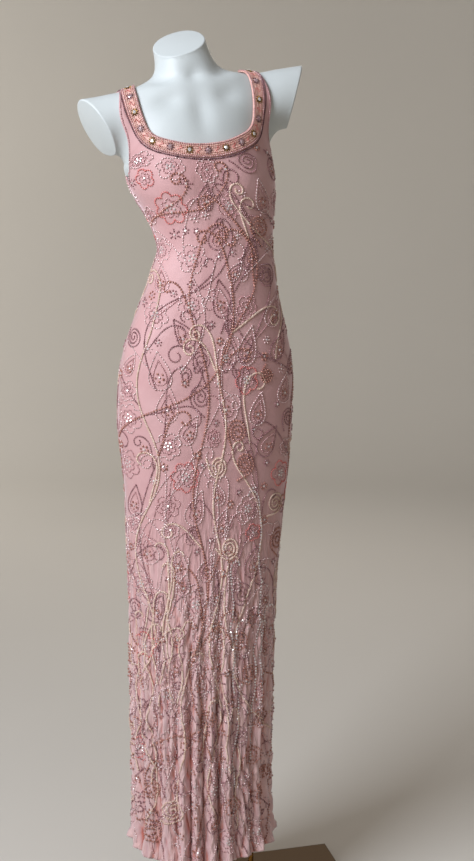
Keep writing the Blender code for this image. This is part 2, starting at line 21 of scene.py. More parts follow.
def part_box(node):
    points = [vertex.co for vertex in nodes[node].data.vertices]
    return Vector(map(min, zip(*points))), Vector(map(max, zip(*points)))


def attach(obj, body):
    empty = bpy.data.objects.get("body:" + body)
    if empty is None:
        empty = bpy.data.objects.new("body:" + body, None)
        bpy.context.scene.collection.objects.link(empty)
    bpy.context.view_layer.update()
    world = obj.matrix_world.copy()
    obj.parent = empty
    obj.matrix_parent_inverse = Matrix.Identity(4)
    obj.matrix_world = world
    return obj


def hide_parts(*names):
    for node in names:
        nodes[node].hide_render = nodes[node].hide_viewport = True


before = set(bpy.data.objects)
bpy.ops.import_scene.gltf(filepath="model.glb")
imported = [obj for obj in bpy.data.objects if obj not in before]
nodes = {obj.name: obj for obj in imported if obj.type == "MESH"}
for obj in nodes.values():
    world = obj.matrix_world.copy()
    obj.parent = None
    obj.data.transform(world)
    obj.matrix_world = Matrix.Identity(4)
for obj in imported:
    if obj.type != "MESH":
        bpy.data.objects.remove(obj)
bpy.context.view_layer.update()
for node_name in sorted(nodes):
    low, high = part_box(node_name)
    print(node_name, [round(value, 3) for value in (*low, *high)])

# %% [markdown]
# The camera is a level-headed portrait shot from chest height, a little to the left of the dress and tilted down.
# Its place and lens were fitted to the base plate and the height of the dress.

# %% Camera
CAMERA_PLACE = (-0.51, -1.935, 1.216)
CAMERA_TURN = 14.0  # degrees to the right of straight ahead
CAMERA_DROP = 8.0  # degrees below level
LENS = 46.0

camera_data = bpy.data.cameras.new("camera")
camera_data.sensor_width = 36.0
camera_data.lens = LENS
camera = bpy.data.objects.new("camera", camera_data)
camera.location = CAMERA_PLACE
camera.rotation_euler = (math.radians(90 - CAMERA_DROP), 0, -math.radians(CAMERA_TURN))
bpy.context.scene.collection.objects.link(camera)
bpy.context.scene.camera = camera

# %% [markdown]
# Colours are written as sRGB hex values, the way a colour picker shows them, and Blender's shaders want linear ones.
# One function turns them, and one small function adds a node with its settings and links.

# %% Colour and node helpers
def linear(code):
    """An sRGB hex colour as linear red, green, blue and alpha."""
    values = []
    for place in (0, 2, 4):
        share = int(code[place:place + 2], 16) / 255
        values.append(share / 12.92 if share <= 0.04045 else ((share + 0.055) / 1.055) ** 2.4)
    return (*values, 1.0)


def add_node(tree, kind, settings=None, values=None, links=None):
    """Adds a node to a material, sets its options and sockets, and links other nodes' outputs to it."""
    node = tree.nodes.new(kind)
    for name, value in (settings or {}).items():
        setattr(node, name, value)
    for name, value in (values or {}).items():
        node.inputs[name].default_value = value
    for name, source in (links or {}).items():
        tree.links.new(source, node.inputs[name])
    return node


def new_material(name, base, roughness, **sockets):
    """A material with one Principled shader, whose constant values are set on its own sockets."""
    material = bpy.data.materials.new(name)
    material.use_nodes = True
    shader = material.node_tree.nodes["Principled BSDF"]
    shader.inputs["Base Color"].default_value = linear(base)
    shader.inputs["Roughness"].default_value = roughness
    for socket, value in sockets.items():
        shader.inputs[socket.replace("_", " ")].default_value = value
    return material, material.node_tree, shader


# %% [markdown]
# The studio is a round cove: a pale floor that sweeps up into a pale wall on every side, so that no corner or edge
# shows from any direction. It is one profile, spun about the middle.

# %% Studio floor
COVE_RADIUS = 6.5
COVE_CURVE = 2.0
COVE_HEIGHT = 4.6

cove_mesh = bmesh.new()
profile = [cove_mesh.verts.new((0.001, 0, -0.0005))]
profile.append(cove_mesh.verts.new((COVE_RADIUS - COVE_CURVE, 0, -0.0005)))
for step in range(1, 13):
    turn = math.pi / 2 * step / 12
    across = COVE_RADIUS - COVE_CURVE + COVE_CURVE * math.sin(turn)
    profile.append(cove_mesh.verts.new((across, 0, COVE_CURVE * (1 - math.cos(turn)))))
profile.append(cove_mesh.verts.new((COVE_RADIUS, 0, COVE_HEIGHT)))
for first, second in zip(profile, profile[1:]):
    cove_mesh.edges.new((first, second))
bmesh.ops.spin(
    cove_mesh, geom=cove_mesh.verts[:] + cove_mesh.edges[:], cent=(0, 0, 0), axis=(0, 0, 1),
    angle=2 * math.pi, steps=64, use_merge=True,
)
for face in cove_mesh.faces:
    face.smooth = True
cove_data = bpy.data.meshes.new("studio_cove")
cove_mesh.to_mesh(cove_data)
cove_mesh.free()
cove = bpy.data.objects.new("studio_cove", cove_data)
bpy.context.scene.collection.objects.link(cove)

paper, paper_tree, paper_shader = new_material("seamless_paper_matt", "D3CFC7", 0.9)
paper_spots = add_node(paper_tree, "ShaderNodeTexNoise", values={"Scale": 0.6, "Detail": 2.0})
place = add_node(paper_tree, "ShaderNodeTexCoord")
paper_tree.links.new(place.outputs["Object"], paper_spots.inputs["Vector"])
paper_tint = add_node(
    paper_tree, "ShaderNodeMix", {"data_type": "RGBA"},
    {"A": linear("CFCBC3"), "B": linear("D7D3CB")}, {"Factor": paper_spots.outputs["Fac"]},
)
paper_tree.links.new(paper_tint.outputs["Result"], paper_shader.inputs["Base Color"])
cove_data.materials.append(paper)

# %% [markdown]
# A large window-like light on the left does most of the work, as in a shop by daylight: the left side of the cloth is
# bright and cool, and the folds on the right fall into shade. A weak warm light on the right keeps them readable.

# %% Lights
def area_light(name, place, aim, size, power, colour):
    light = bpy.data.lights.new(name, "AREA")
    light.shape = "RECTANGLE"
    light.size, light.size_y = size
    light.energy = power
    light.color = linear(colour)[:3]
    made = bpy.data.objects.new(name, light)
    made.location = place
    made.rotation_euler = (Vector(aim) - Vector(place)).to_track_quat("-Z", "Y").to_euler()
    bpy.context.scene.collection.objects.link(made)


area_light("window_left", (-2.15, -1.3, 2.50), (-0.05, 0, 1.50), (1.2, 1.4), 104, "EEF3FC")
area_light("reflector_right", (2.4, -2.4, 1.5), (-0.1, 0, 1.1), (1.6, 1.6), 1.5, "FFE4D2")
area_light("light_behind", (1.2, 2.9, 2.4), (-0.1, 0, 1.0), (1.8, 1.4), 12, "FFF4EA")
area_light("wall_wash", (-2.9, 3.5, 3.2), (-2.2, 6.0, 1.6), (2.4, 1.6), 84, "FFFBF6")
world = bpy.data.worlds.new("soft_daylight")
world.use_nodes = True
world.node_tree.nodes["Background"].inputs["Color"].default_value = linear("F3EBE4")
world.node_tree.nodes["Background"].inputs["Strength"].default_value = 0.31
bpy.context.scene.world = world
bpy.context.scene.view_settings.view_transform = "Standard"

# %% [markdown]
# Cloth that is worn follows the figure under it, so the figure comes first, as a rule that says for any point whether
# it lies inside or outside. The tables are those of the part's source: half widths and depths of a general dress form,
# and how it stands on its pole with one shoulder raised. The cloth, its beads and the form are all laid on this rule.

# %% The figure
CLOTH_GAP = 0.0016
SHOULDER_GAP = 0.0007
SHOULDER_REACH = 0.03
CLOTH_WALL = 0.0018
BAND_WALL = 0.0024
SEAM_GAP = 0.0003
HEM = 0.155
YOKE = 1.40
YOKE_RADIUS = 0.12
SHOULDER_SEAM = YOKE + YOKE_RADIUS * math.pi / 2
ANGLE_RADIUS = 0.12
BAND_WIDTH = 0.0230
ARM_AXIS_HEIGHT = 1.4965
ARM_HALF_HEIGHT = 0.0510
ARM_HALF_DEPTH = 0.0475
ARM_TILT = 10.5
ARM_BLEND = 0.030
BUST_POINT = (0.064, 1.372)
BUST_DEPTH = 0.0125
BUST_SPREAD = (0.046, 0.044)
FRONT = -1.0
BACK = 1.0

FIGURE_SECTIONS = {
    "height": (0.150, 0.170, 0.190, 0.215, 0.250, 0.330, 0.410, 0.490, 0.565, 0.640, 0.680, 0.715, 0.755,
               0.790, 0.828, 0.865, 0.902, 0.939, 0.976, 1.012, 1.048, 1.084, 1.120, 1.156, 1.191, 1.226,
               1.262, 1.296, 1.331, 1.366, 1.400, 1.435, 1.469, 1.500, 1.528, 1.545, 1.555, 1.562, 1.575,
               1.590, 1.613, 1.720),
    "side": (0.1300, 0.1250, 0.1215, 0.1195, 0.1190, 0.1215, 0.1248, 0.1270, 0.1290, 0.1322, 0.1338, 0.1372,
             0.1398, 0.1415, 0.1445, 0.1474, 0.1508, 0.1550, 0.1561, 0.1552, 0.1532, 0.1479, 0.1382, 0.1260,
             0.1150, 0.1072, 0.0990, 0.1036, 0.1130, 0.1246, 0.1276, 0.1290, 0.1285, 0.1255, 0.1150, 0.0960,
             0.0740, 0.0620, 0.0525, 0.0480, 0.0455, 0.0440),
    "front": (0.1030, 0.0990, 0.0965, 0.0950, 0.0945, 0.0945, 0.0950, 0.0950, 0.0950, 0.0945, 0.0940, 0.0932,
              0.0930, 0.0935, 0.0945, 0.0955, 0.0970, 0.0980, 0.0982, 0.0978, 0.0970, 0.0955, 0.0932, 0.0900,
              0.0865, 0.0825, 0.0790, 0.0792, 0.0820, 0.0855, 0.0880, 0.0885, 0.0845, 0.0750, 0.0640, 0.0575,
              0.0530, 0.0510, 0.0495, 0.0485, 0.0480, 0.0480),
    "back": (0.1150, 0.1110, 0.1085, 0.1070, 0.1065, 0.1060, 0.1060, 0.1055, 0.1045, 0.1035, 0.1025, 0.1015,
             0.1015, 0.1030, 0.1065, 0.1095, 0.1130, 0.1160, 0.1175, 0.1165, 0.1140, 0.1095, 0.1030, 0.0945,
             0.0865, 0.0795, 0.0745, 0.0755, 0.0785, 0.0820, 0.0855, 0.0880, 0.0885, 0.0860, 0.0790, 0.0730,
             0.0660, 0.0610, 0.0550, 0.0510, 0.0490, 0.0480),
}
STANCE = {
    "height": (0.150, 0.400, 0.565, 0.715, 0.865, 0.976, 1.084, 1.156, 1.226, 1.262, 1.296, 1.366, 1.435,
               1.500, 1.555, 1.613, 1.720),
    "across": (-0.0942, -0.0942, -0.0932, -0.0907, -0.0857, -0.0857, -0.0822, -0.0782, -0.0708, -0.0677,
               -0.0712, -0.0882, -0.1022, -0.1100, -0.1170, -0.1310, -0.1560),
    "tilt": (0.0, 0.0, 0.0, 0.0, 0.0, 0.0, 0.0, 0.0, 0.0, 0.0, 0.5, 2.0, 5.0, 7.5, 10.0, 11.0, 11.0),
}


def along(table, column, where):
    """A smooth curve through one column of a table, read at the given heights."""
    known = np.array(table["height"])
    values = np.array(table[column])
    steps = np.diff(values) / np.diff(known)
    slopes = np.empty(len(values))
    slopes[0] = steps[0]
    slopes[-1] = steps[-1]
    left = np.diff(known)[:-1]
    right = np.diff(known)[1:]
    slopes[1:-1] = (steps[:-1] * right + steps[1:] * left) / (left + right)
    at = np.clip(where, known[0], known[-1])
    index = np.clip(np.searchsorted(known, at) - 1, 0, len(known) - 2)
    span = known[index + 1] - known[index]
    part = (at - known[index]) / span
    return (
        (1 + 2 * part) * (1 - part) ** 2 * values[index] + part * (1 - part) ** 2 * span * slopes[index]
        + part**2 * (3 - 2 * part) * values[index + 1] + part**2 * (part - 1) * span * slopes[index + 1]
    )


FINE_HEIGHTS = np.linspace(0.150, 1.720, 3141)  # every half millimetre, which makes the many look-ups quick
FINE_SECTIONS = {column: along(FIGURE_SECTIONS, column, FINE_HEIGHTS) for column in ("side", "front", "back")}


def section(column, height):
    return np.interp(height, FINE_HEIGHTS, FINE_SECTIONS[column])


def figure_radius(angle, height):
    """From the upright axis to the figure's surface, arm stumps left out. Angle zero is the middle of the front."""
    forward = np.cos(angle)
    across = np.sin(angle)
    deep = np.where(forward > 0, section("front", height), section("back", height))
    side = section("side", height)
    radius = (np.abs(across / side) ** 2.15 + np.abs(forward / deep) ** 2.15) ** (-1 / 2.15)
    bust = np.zeros_like(radius)
    for point in (-BUST_POINT[0], BUST_POINT[0]):
        aside = (radius * across - point) / BUST_SPREAD[0]
        above = (height - BUST_POINT[1]) / BUST_SPREAD[1]
        bust = bust + np.exp(-aside**2 - above**2)
    return radius + BUST_DEPTH * bust * np.clip(forward, 0, 1)


def figure_field(point):
    """Negative inside the whole figure with its arm stumps, positive outside."""
    x, y, height = point[..., 0], point[..., 1], point[..., 2]
    body = np.hypot(x, y) - figure_radius(np.arctan2(x, -y), height)
    up = (height - ARM_AXIS_HEIGHT) / ARM_HALF_HEIGHT
    deep = (y - 0.004) / ARM_HALF_DEPTH
    arm = (np.sqrt(up**2 + deep**2) - 1) * ARM_HALF_DEPTH
    arm = np.where(np.abs(x) < 0.045, arm + 2 * (0.045 - np.abs(x)), arm)
    share = np.clip(0.5 + 0.5 * (arm - body) / ARM_BLEND, 0, 1)
    return arm * (1 - share) + body * share - ARM_BLEND * share * (1 - share)


def field_slope(point):
    """How steeply the field grows along each axis."""
    step = 0.0005
    slope = np.empty_like(point)
    for axis in range(3):
        shift = np.zeros(3)
        shift[axis] = step
        slope[..., axis] = (figure_field(point + shift) - figure_field(point - shift)) / (2 * step)
    return slope


def field_normal(point):
    slope = np.zeros_like(point)
    for corner in ((1, -1, -1), (-1, -1, 1), (-1, 1, -1), (1, 1, 1)):
        slope += figure_field(point + 0.0004 * np.array(corner))[..., None] * np.array(corner)
    return slope / np.linalg.norm(slope, axis=-1, keepdims=True)


def pose(point):
    """Moves points of the upright figure to how the form really stands."""
    height = point[..., 2]
    tilt = along(STANCE, "tilt", height)
    arm = np.clip((np.abs(point[..., 0]) - 0.120) / 0.045, 0, 1) * np.clip((height - 1.37) / 0.05, 0, 1)
    tilt = np.radians(tilt + (ARM_TILT - tilt) * arm**2 * (3 - 2 * arm))
    across = along(STANCE, "across", height)
    return np.stack(
        [across + point[..., 0] * np.cos(tilt), point[..., 1], height + point[..., 0] * np.sin(tilt)], axis=-1
    )


# %% [markdown]
# A place on the cloth is written as on a paper pattern: how far round, in metres of angle, and how far up. Over the
# chest "up" bends into an angle over the shoulder. A ray from the body's axis in that direction finds the surface.

# %% From the flat pattern to the figure
def figure_point(angle, way, face):
    over = np.clip((way - YOKE) / YOKE_RADIUS, 0, None)
    direction = np.stack(
        [np.sin(angle), face * np.cos(angle) * np.cos(over), np.cos(angle) * np.sin(over)], axis=-1
    )
    start = np.stack([np.zeros_like(angle), np.zeros_like(angle), np.minimum(way, YOKE)], axis=-1)
    near = np.full(angle.shape, 0.01)
    far = np.full(angle.shape, 0.24)
    for _ in range(4):
        middle = (near + far) / 2
        inside = figure_field(start + direction * middle[..., None]) < 0
        near = np.where(inside, middle, near)
        far = np.where(inside, far, middle)
    near_value = figure_field(start + direction * near[..., None])
    far_value = figure_field(start + direction * far[..., None])
    for _ in range(6):
        middle = near + (far - near) * near_value / (near_value - far_value)
        value = figure_field(start + direction * middle[..., None])
        inside = value < 0
        near, near_value = np.where(inside, middle, near), np.where(inside, value, near_value / 2)
        far, far_value = np.where(inside, far, middle), np.where(inside, far_value / 2, value)
    return start + direction * middle[..., None]


def angle_and_way(point):
    """Which angle and way up lead to this point of the figure."""
    x, y, height = point[..., 0], point[..., 1], point[..., 2]
    depth = np.abs(y)
    over = np.where(height > YOKE, np.arctan2(height - YOKE, depth), 0)
    distance = np.sqrt(x**2 + depth**2 + np.clip(height - YOKE, 0, None) ** 2)
    return np.arcsin(x / distance), np.where(height > YOKE, YOKE + YOKE_RADIUS * over, height)


# %% [markdown]
# Below the thigh the skirt falls into folds. The large ones are those of the part's source: a wave round the figure
# whose spacing wanders, growing towards the hem. Crinkled chiffon also has fine, nearly vertical pleats a finger's
# width apart. These are vertex moves in code, no simulation, because the photograph shows the same worn cloth
# held in place by its beading. Each fine wave has a whole number of turns round the figure, so it closes on itself.

# %% Folds and crinkles
FOLD_COUNT = 21
FOLD_DEPTH = 0.0086
FOLD_START = 0.74
FOLD_START_CHANGE = 0.09
CRINKLE_WAVES = (  # turns round the figure, share, wandering, turns of that for each metre up, start
    (13, 0.50, 3.4, 9.0, 0.3),
    (22, 0.60, 3.0, 13.0, 1.9),
    (31, 0.50, 3.6, 10.0, 4.2),
    (43, 0.34, 3.2, 17.0, 2.5),
)
CRINKLE_HEM = 0.0040
CRINKLE_TOP = 0.00006
CRINKLE_START = 0.84  # height at which the crinkles begin to grow


def fold_offset(round_angle, height):
    turn = FOLD_COUNT * round_angle + 1.1 * np.sin(2 * round_angle + 0.7) + 0.8 * np.sin(5 * round_angle + 2.1)
    ridge = ((1 + np.cos(turn)) / 2) ** 0.75
    start = FOLD_START + FOLD_START_CHANGE * np.sin(3 * round_angle + 0.4) * np.sin(7 * round_angle + 1.0)
    down = np.clip((start - height) / (FOLD_START - HEM), 0, 1.2)
    strength = 1 + 0.28 * np.sin(4 * round_angle + 2.6) + 0.16 * np.sin(9 * round_angle)
    return FOLD_DEPTH * strength * down**1.25 * (2 * ridge - 1.1)


def crinkle_offset(round_angle, height):
    waves = np.zeros_like(height)
    for turns, share, wander, rise, start in CRINKLE_WAVES:
        drift = wander * np.sin(rise * height + start) + 0.5 * wander * np.sin(2.3 * rise * height + 2 * start)
        pleat = np.sqrt(np.sin(turns * round_angle + drift + 0.8 * np.sin(3 * round_angle + start)) ** 2 + 0.004)
        waves = waves + share * (2 * pleat - 1.27)
    down = np.clip((CRINKLE_START - height) / 0.45, 0, 1)
    grown = down**2 * (3 - 2 * down)
    patches = 0.75 + 0.25 * np.sin(6 * round_angle + 1.0) * np.sin(17 * height + 0.5)
    return (CRINKLE_TOP + (CRINKLE_HEM - CRINKLE_TOP) * grown) * waves * patches


def cloth_middle(flat, face, wall):
    """The posed middle of a cloth wall that lies on the figure."""
    way = flat[:, 1]
    base = figure_point(flat[:, 0] / ANGLE_RADIUS, way, face)
    round_angle = np.arctan2(base[:, 0], -base[:, 1])
    below = np.clip((SHOULDER_SEAM - way) / SHOULDER_REACH, 0, 1)
    lift = SHOULDER_GAP + (CLOTH_GAP - SHOULDER_GAP) * below + wall / 2
    free = np.clip((YOKE - way) / 0.05, 0, 1)
    lift = lift + np.where(way < YOKE, fold_offset(round_angle, base[:, 2]), 0)
    lift = lift + free * crinkle_offset(round_angle, base[:, 2])
    return pose(base + field_normal(base) * lift[:, None])


def cloth_surface(flat, face, wall):
    """Middle points of a cloth wall and the directions out of it."""
    step = 0.0005
    middle = cloth_middle(flat, face, wall)
    round_step = cloth_middle(flat + (step, 0), face, wall) - middle
    up_step = cloth_middle(flat + (0, step), face, wall) - middle
    normal = np.cross(round_step, up_step) * (1 if face == FRONT else -1)
    return middle, normal / np.linalg.norm(normal, axis=1, keepdims=True)


# %% [markdown]
# The neckline and the armholes are short tables of angles, on one half of the front and of the back. A smooth curve
# runs through each, and the neckband's outer edge is the neckline moved sideways over the surface.

# %% Necklines and armholes
FRONT_NECKLINE = ((0.0, 21.6), (11.4, 22.3), (22.4, 24.6), (32.6, 29.8), (40.2, 36.8), (43.3, 46.0),
                  (41.0, 58.0), (35.0, 74.0), (31.0, 90.0))
BACK_NECKLINE = ((0.0, 33.0), (12.0, 33.6), (23.0, 36.0), (31.0, 41.0), (35.0, 49.0), (36.0, 60.0),
                 (34.0, 74.0), (31.0, 90.0))
FRONT_ARMHOLE = ((38.3, 90.0), (44.8, 74.0), (57.2, 58.0), (69.8, 42.0), (76.8, 24.0), (79.3, 9.0),
                 (82.0, -1.0), (85.3, -7.0), (90.0, -9.0))
BACK_ARMHOLE = ((38.3, 90.0), (44.5, 74.0), (53.5, 58.0), (63.0, 42.0), (70.0, 24.0), (75.6, 8.0),
                (80.0, -1.0), (84.5, -7.0), (90.0, -9.0))
SIDE_SEAM = ANGLE_RADIUS * math.pi / 2 - SEAM_GAP / 2 * ANGLE_RADIUS / 0.115
SHOULDER_EDGE = SHOULDER_SEAM - SEAM_GAP / 2 * YOKE_RADIUS / 0.155


def smooth_curve(points, spacing):
    """Evenly spaced points on a smooth curve through the given ones."""
    known = np.array(points)
    ends = np.vstack([2 * known[0] - known[1], known, 2 * known[-1] - known[-2]])
    fine = []
    for index in range(len(known) - 1):
        before, start, end, after = ends[index:index + 4]
        for part in np.linspace(0, 1, 24, endpoint=False):
            fine.append(
                0.5 * (2 * start + (end - before) * part + (2 * before - 5 * start + 4 * end - after) * part**2
                       + (3 * start - before - 3 * end + after) * part**3)
            )
    fine.append(known[-1])
    fine = np.array(fine)
    length = np.concatenate([[0], np.cumsum(np.linalg.norm(np.diff(fine, axis=0), axis=1))])
    even = np.linspace(0, length[-1], max(2, round(length[-1] / spacing) + 1))
    return np.stack([np.interp(even, length, fine[:, axis]) for axis in range(fine.shape[1])], axis=1)


def edge_curve(degrees, spacing):
    points = []
    for around, over in degrees:
        points.append((math.radians(around) * ANGLE_RADIUS, YOKE + math.radians(over) * YOKE_RADIUS))
    return smooth_curve(points, spacing)


def beside(curve, face, distance):
    """The curve moved sideways over the surface, away from the neck."""
    at = figure_point(curve[:, 0] / ANGLE_RADIUS, curve[:, 1], face)
    aside = np.cross(field_normal(at), np.gradient(at, axis=0)) * face
    aside /= np.linalg.norm(aside, axis=1, keepdims=True)
    aside[-1] = (1, 0, 0)
    aside[0, 0] = 0
    angle, way = angle_and_way(at + aside * distance)
    moved = np.stack([angle * ANGLE_RADIUS, way], axis=1)
    moved[-1, 1] = SHOULDER_SEAM
    return moved


def both_sides(half):
    """A curve from the left shoulder over the middle to the right one, from its right-hand half."""
    mirrored = half[::-1].copy()
    mirrored[:, 0] *= -1
    return np.vstack([mirrored[:-1], half])


def in_outline(points, outline):
    inside = np.zeros(len(points), bool)
    x, y = points[:, 0], points[:, 1]
    for (x0, y0), (x1, y1) in zip(outline, np.roll(outline, -1, axis=0)):
        crosses = (y0 > y) != (y1 > y)
        if y0 != y1:
            inside ^= crosses & (x < (x1 - x0) * (y - y0) / (y1 - y0) + x0)
    return inside


def outline_distance(points, outline):
    distance = np.full(len(points), 1.0)
    for start, end in zip(outline, np.roll(outline, -1, axis=0)):
        line = end - start
        part = np.clip(((points - start) @ line) / max(line @ line, 1e-12), 0, 1)
        nearest = start + part[:, None] * line
        distance = np.minimum(distance, np.linalg.norm(points - nearest, axis=1))
    return distance


def flat_grid(columns, rows, outline, clear):
    """Grid points inside an outline and clear of its edge."""
    points = np.array([(x, y) for y in rows for x in columns])
    points = points[in_outline(points, outline)]
    return points[outline_distance(points, outline) > clear]


# %% [markdown]
# Each panel is one sheet, as the cutter would lay it: side seam, armhole, shoulder, neckline, and the same again to
# the other side. A triangulation of its flat outline is laid on the figure, and a Solidify modifier gives the sheet
# the wall of the cloth solid. The mesh keeps its flat places as a UV map in metres, so weave and crinkle follow
# the cloth, and the depth of each fold as an attribute, from which the material paints shade into the fold valleys
# and a paler painted sheen onto the ridges.

# %% The front and back panels
SKIRT_CELL = (0.0024, 0.0056)
BODICE_CELL = (0.0040, 0.0062)
SKIRT_TOP = 0.80


def finished(name, mesh, smooth=True):
    """Puts a finished bmesh in the scene as an object at the origin."""
    for face in mesh.faces:
        face.smooth = smooth
    data = bpy.data.meshes.new(name)
    mesh.to_mesh(data)
    mesh.free()
    made = bpy.data.objects.new(name, data)
    bpy.context.scene.collection.objects.link(made)
    return made


def laid_sheet(name, outline, inner_points, face, wall, crown=0.0):
    """A sheet laid on the figure, from its flat outline and the points inside it."""
    flat = np.vstack([outline, inner_points])
    found = delaunay_2d_cdt([Vector(p) for p in flat.tolist()], [], [list(range(len(outline)))], 1, 1e-7)
    flat = np.array([tuple(p) for p in found[0]])
    middle, normal = cloth_surface(flat, face, wall)
    if crown:
        inward = np.clip(outline_distance(flat, outline) / (BAND_WIDTH / 2), 0, 1)
        middle = middle + normal * (crown * np.sqrt(1 - (1 - inward) ** 2))[:, None]
    mesh = bmesh.new()
    pattern = mesh.loops.layers.uv.new("pattern")
    depth = mesh.verts.layers.float.new("fold_shade_amount")
    crinkled = mesh.verts.layers.float.new("crinkled")
    verts = [mesh.verts.new(p) for p in middle]
    angle = flat[:, 0] / ANGLE_RADIUS
    around = angle if face == FRONT else math.pi - angle
    # Painted shade: this is high in the fold and crinkle hollows and low on their ridges, and the cloth material
    # darkens the colour with it.
    valley = -fold_offset(around, flat[:, 1]) / FOLD_DEPTH * 0.9 - crinkle_offset(around, flat[:, 1]) / 0.004
    loose_cloth = np.clip((CRINKLE_START + 0.04 - flat[:, 1]) / 0.30, 0.015, 1)
    for vert, value, share in zip(verts, np.where(flat[:, 1] < YOKE, valley, 0), loose_cloth):
        vert[depth] = value
        vert[crinkled] = share
    for a, b, c in found[2]:
        corners = (a, b, c) if face == FRONT else (c, b, a)
        made_face = mesh.faces.new([verts[index] for index in corners])
        for loop, index in zip(made_face.loops, corners):
            loop[pattern].uv = flat[index]
    loose = [v for v in mesh.verts if not v.link_faces]
    bmesh.ops.delete(mesh, geom=loose, context="VERTS")
    mesh.normal_update()
    area = sum(f.calc_area() for f in mesh.faces)
    outward = sum((f.normal.y * f.calc_area() for f in mesh.faces)) * face
    if outward < 0:
        bmesh.ops.reverse_faces(mesh, faces=mesh.faces[:])
    made = finished(name, mesh)
    solidify = made.modifiers.new("cloth_wall", "SOLIDIFY")
    solidify.thickness = wall
    solidify.offset = 0.0
    print(name, "faces", len(made.data.polygons), "cloth", round(area, 4), "square metres")
    return made


def panel_outline(face):
    """The flat outline of the front or back panel, with a point every few millimetres."""
    neckline = FRONT_NECKLINE if face == FRONT else BACK_NECKLINE
    armhole = FRONT_ARMHOLE if face == FRONT else BACK_ARMHOLE
    arm = edge_curve(armhole, 0.004)[::-1]
    arm[0, 0] = SIDE_SEAM
    arm[-1, 1] = SHOULDER_EDGE
    neck = beside(edge_curve(neckline, 0.004), face, BAND_WIDTH + SEAM_GAP)
    neck[-1, 1] = SHOULDER_EDGE
    seam_rows = np.arange(HEM, arm[0, 1] - 0.003, SKIRT_CELL[1])
    seam = np.stack([np.full(len(seam_rows), SIDE_SEAM), seam_rows], axis=1)
    right = np.vstack([seam, arm, neck[::-1]])
    left = right[::-1].copy()
    left[:, 0] *= -1
    hem_columns = np.linspace(-SIDE_SEAM, SIDE_SEAM, round(2 * SIDE_SEAM / SKIRT_CELL[0]) + 1)[1:-1]
    hem = np.stack([hem_columns, np.full(len(hem_columns), HEM)], axis=1)
    return np.vstack([right, left[:-1], hem])


def make_panel(name, face):
    outline = panel_outline(face)
    skirt_columns = np.linspace(-SIDE_SEAM, SIDE_SEAM, round(2 * SIDE_SEAM / SKIRT_CELL[0]) + 1)
    skirt_rows = np.arange(HEM + SKIRT_CELL[1] * 0.6, SKIRT_TOP, SKIRT_CELL[1])
    bodice_columns = np.linspace(-SIDE_SEAM, SIDE_SEAM, round(2 * SIDE_SEAM / BODICE_CELL[0]) + 1)
    bodice_rows = np.arange(skirt_rows[-1] + BODICE_CELL[1], SHOULDER_SEAM, BODICE_CELL[1])
    skirt = flat_grid(skirt_columns, skirt_rows, outline, SKIRT_CELL[0] * 0.5)
    bodice = flat_grid(bodice_columns, bodice_rows, outline, BODICE_CELL[0] * 0.5)
    return laid_sheet(name, outline, np.vstack([skirt, bodice]), face, CLOTH_WALL)


front = make_panel("dress_front", FRONT)
back = make_panel("dress_back", BACK)
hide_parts("panel_front")
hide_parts("panel_back")

# %% [markdown]
# The neckband is a separate strip of stiffened chiffon. It is cut in the same way between the neckline and its outer
# edge, and stands a little crowned between its two stitched edges.

# %% The neckband
BAND_CELL = 0.0021
BAND_CROWN = 0.0005


def make_band(name, face, neckline):
    half = edge_curve(neckline, BAND_CELL)
    inner = half.copy()
    inner[-1, 1] = SHOULDER_EDGE
    outer = beside(half, face, BAND_WIDTH)
    outer[-1, 1] = SHOULDER_EDGE
    outline = np.vstack([both_sides(inner), both_sides(outer)[::-1]])
    rows = []
    for step in range(1, 11):
        rows.append(both_sides(beside(half, face, BAND_WIDTH * step / 11))[1:-1])
    return laid_sheet(name, outline, np.vstack(rows), face, BAND_WALL, BAND_CROWN)


band_front = make_band("band_front", FRONT, FRONT_NECKLINE)
band_back = make_band("band_back", BACK, BACK_NECKLINE)
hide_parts("neckband_front")
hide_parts("neckband_back")

# %% [markdown]
# The dress form is the same figure, drawn finely: one corner for every small cell that its surface crosses, moved onto
# the surface. Neck and arm stumps are cut with planes. Moulded plastic has no knife-sharp rim, so the cut edge is
# extruded in four small steps that turn inwards, and then closed. Shallow hollows over and under the collar bones and
# along the breastbone model the open chest.

# %% The dress form
NECK_CUT_HEIGHT = 1.614
NECK_CUT_FORWARD = math.radians(27)
NECK_CUT_SIDEWAYS = math.radians(10)
ARM_CUT_TOP = {"left": (-0.191, 1.548), "right": (0.212, 1.548)}
ARM_CUT_BOTTOM = {"left": (-0.148, 1.446), "right": (0.172, 1.446)}
ARM_CUT_FORWARD = math.radians(13.5)
ARM_ROOT = (0.118, 1.395)
FORM_BOTTOM = 0.785
FORM_CELL = 0.0068
RIM_RADIUS = 0.0028
CHEST_HOLLOWS = (  # across, height, half width, half height, depth
    (0.0, 1.490, 0.017, 0.038, 0.0058),
    (0.0, 1.553, 0.014, 0.011, 0.0060),
    (0.052, 1.554, 0.024, 0.010, 0.0066),
    (0.052, 1.514, 0.022, 0.014, 0.0052),
)


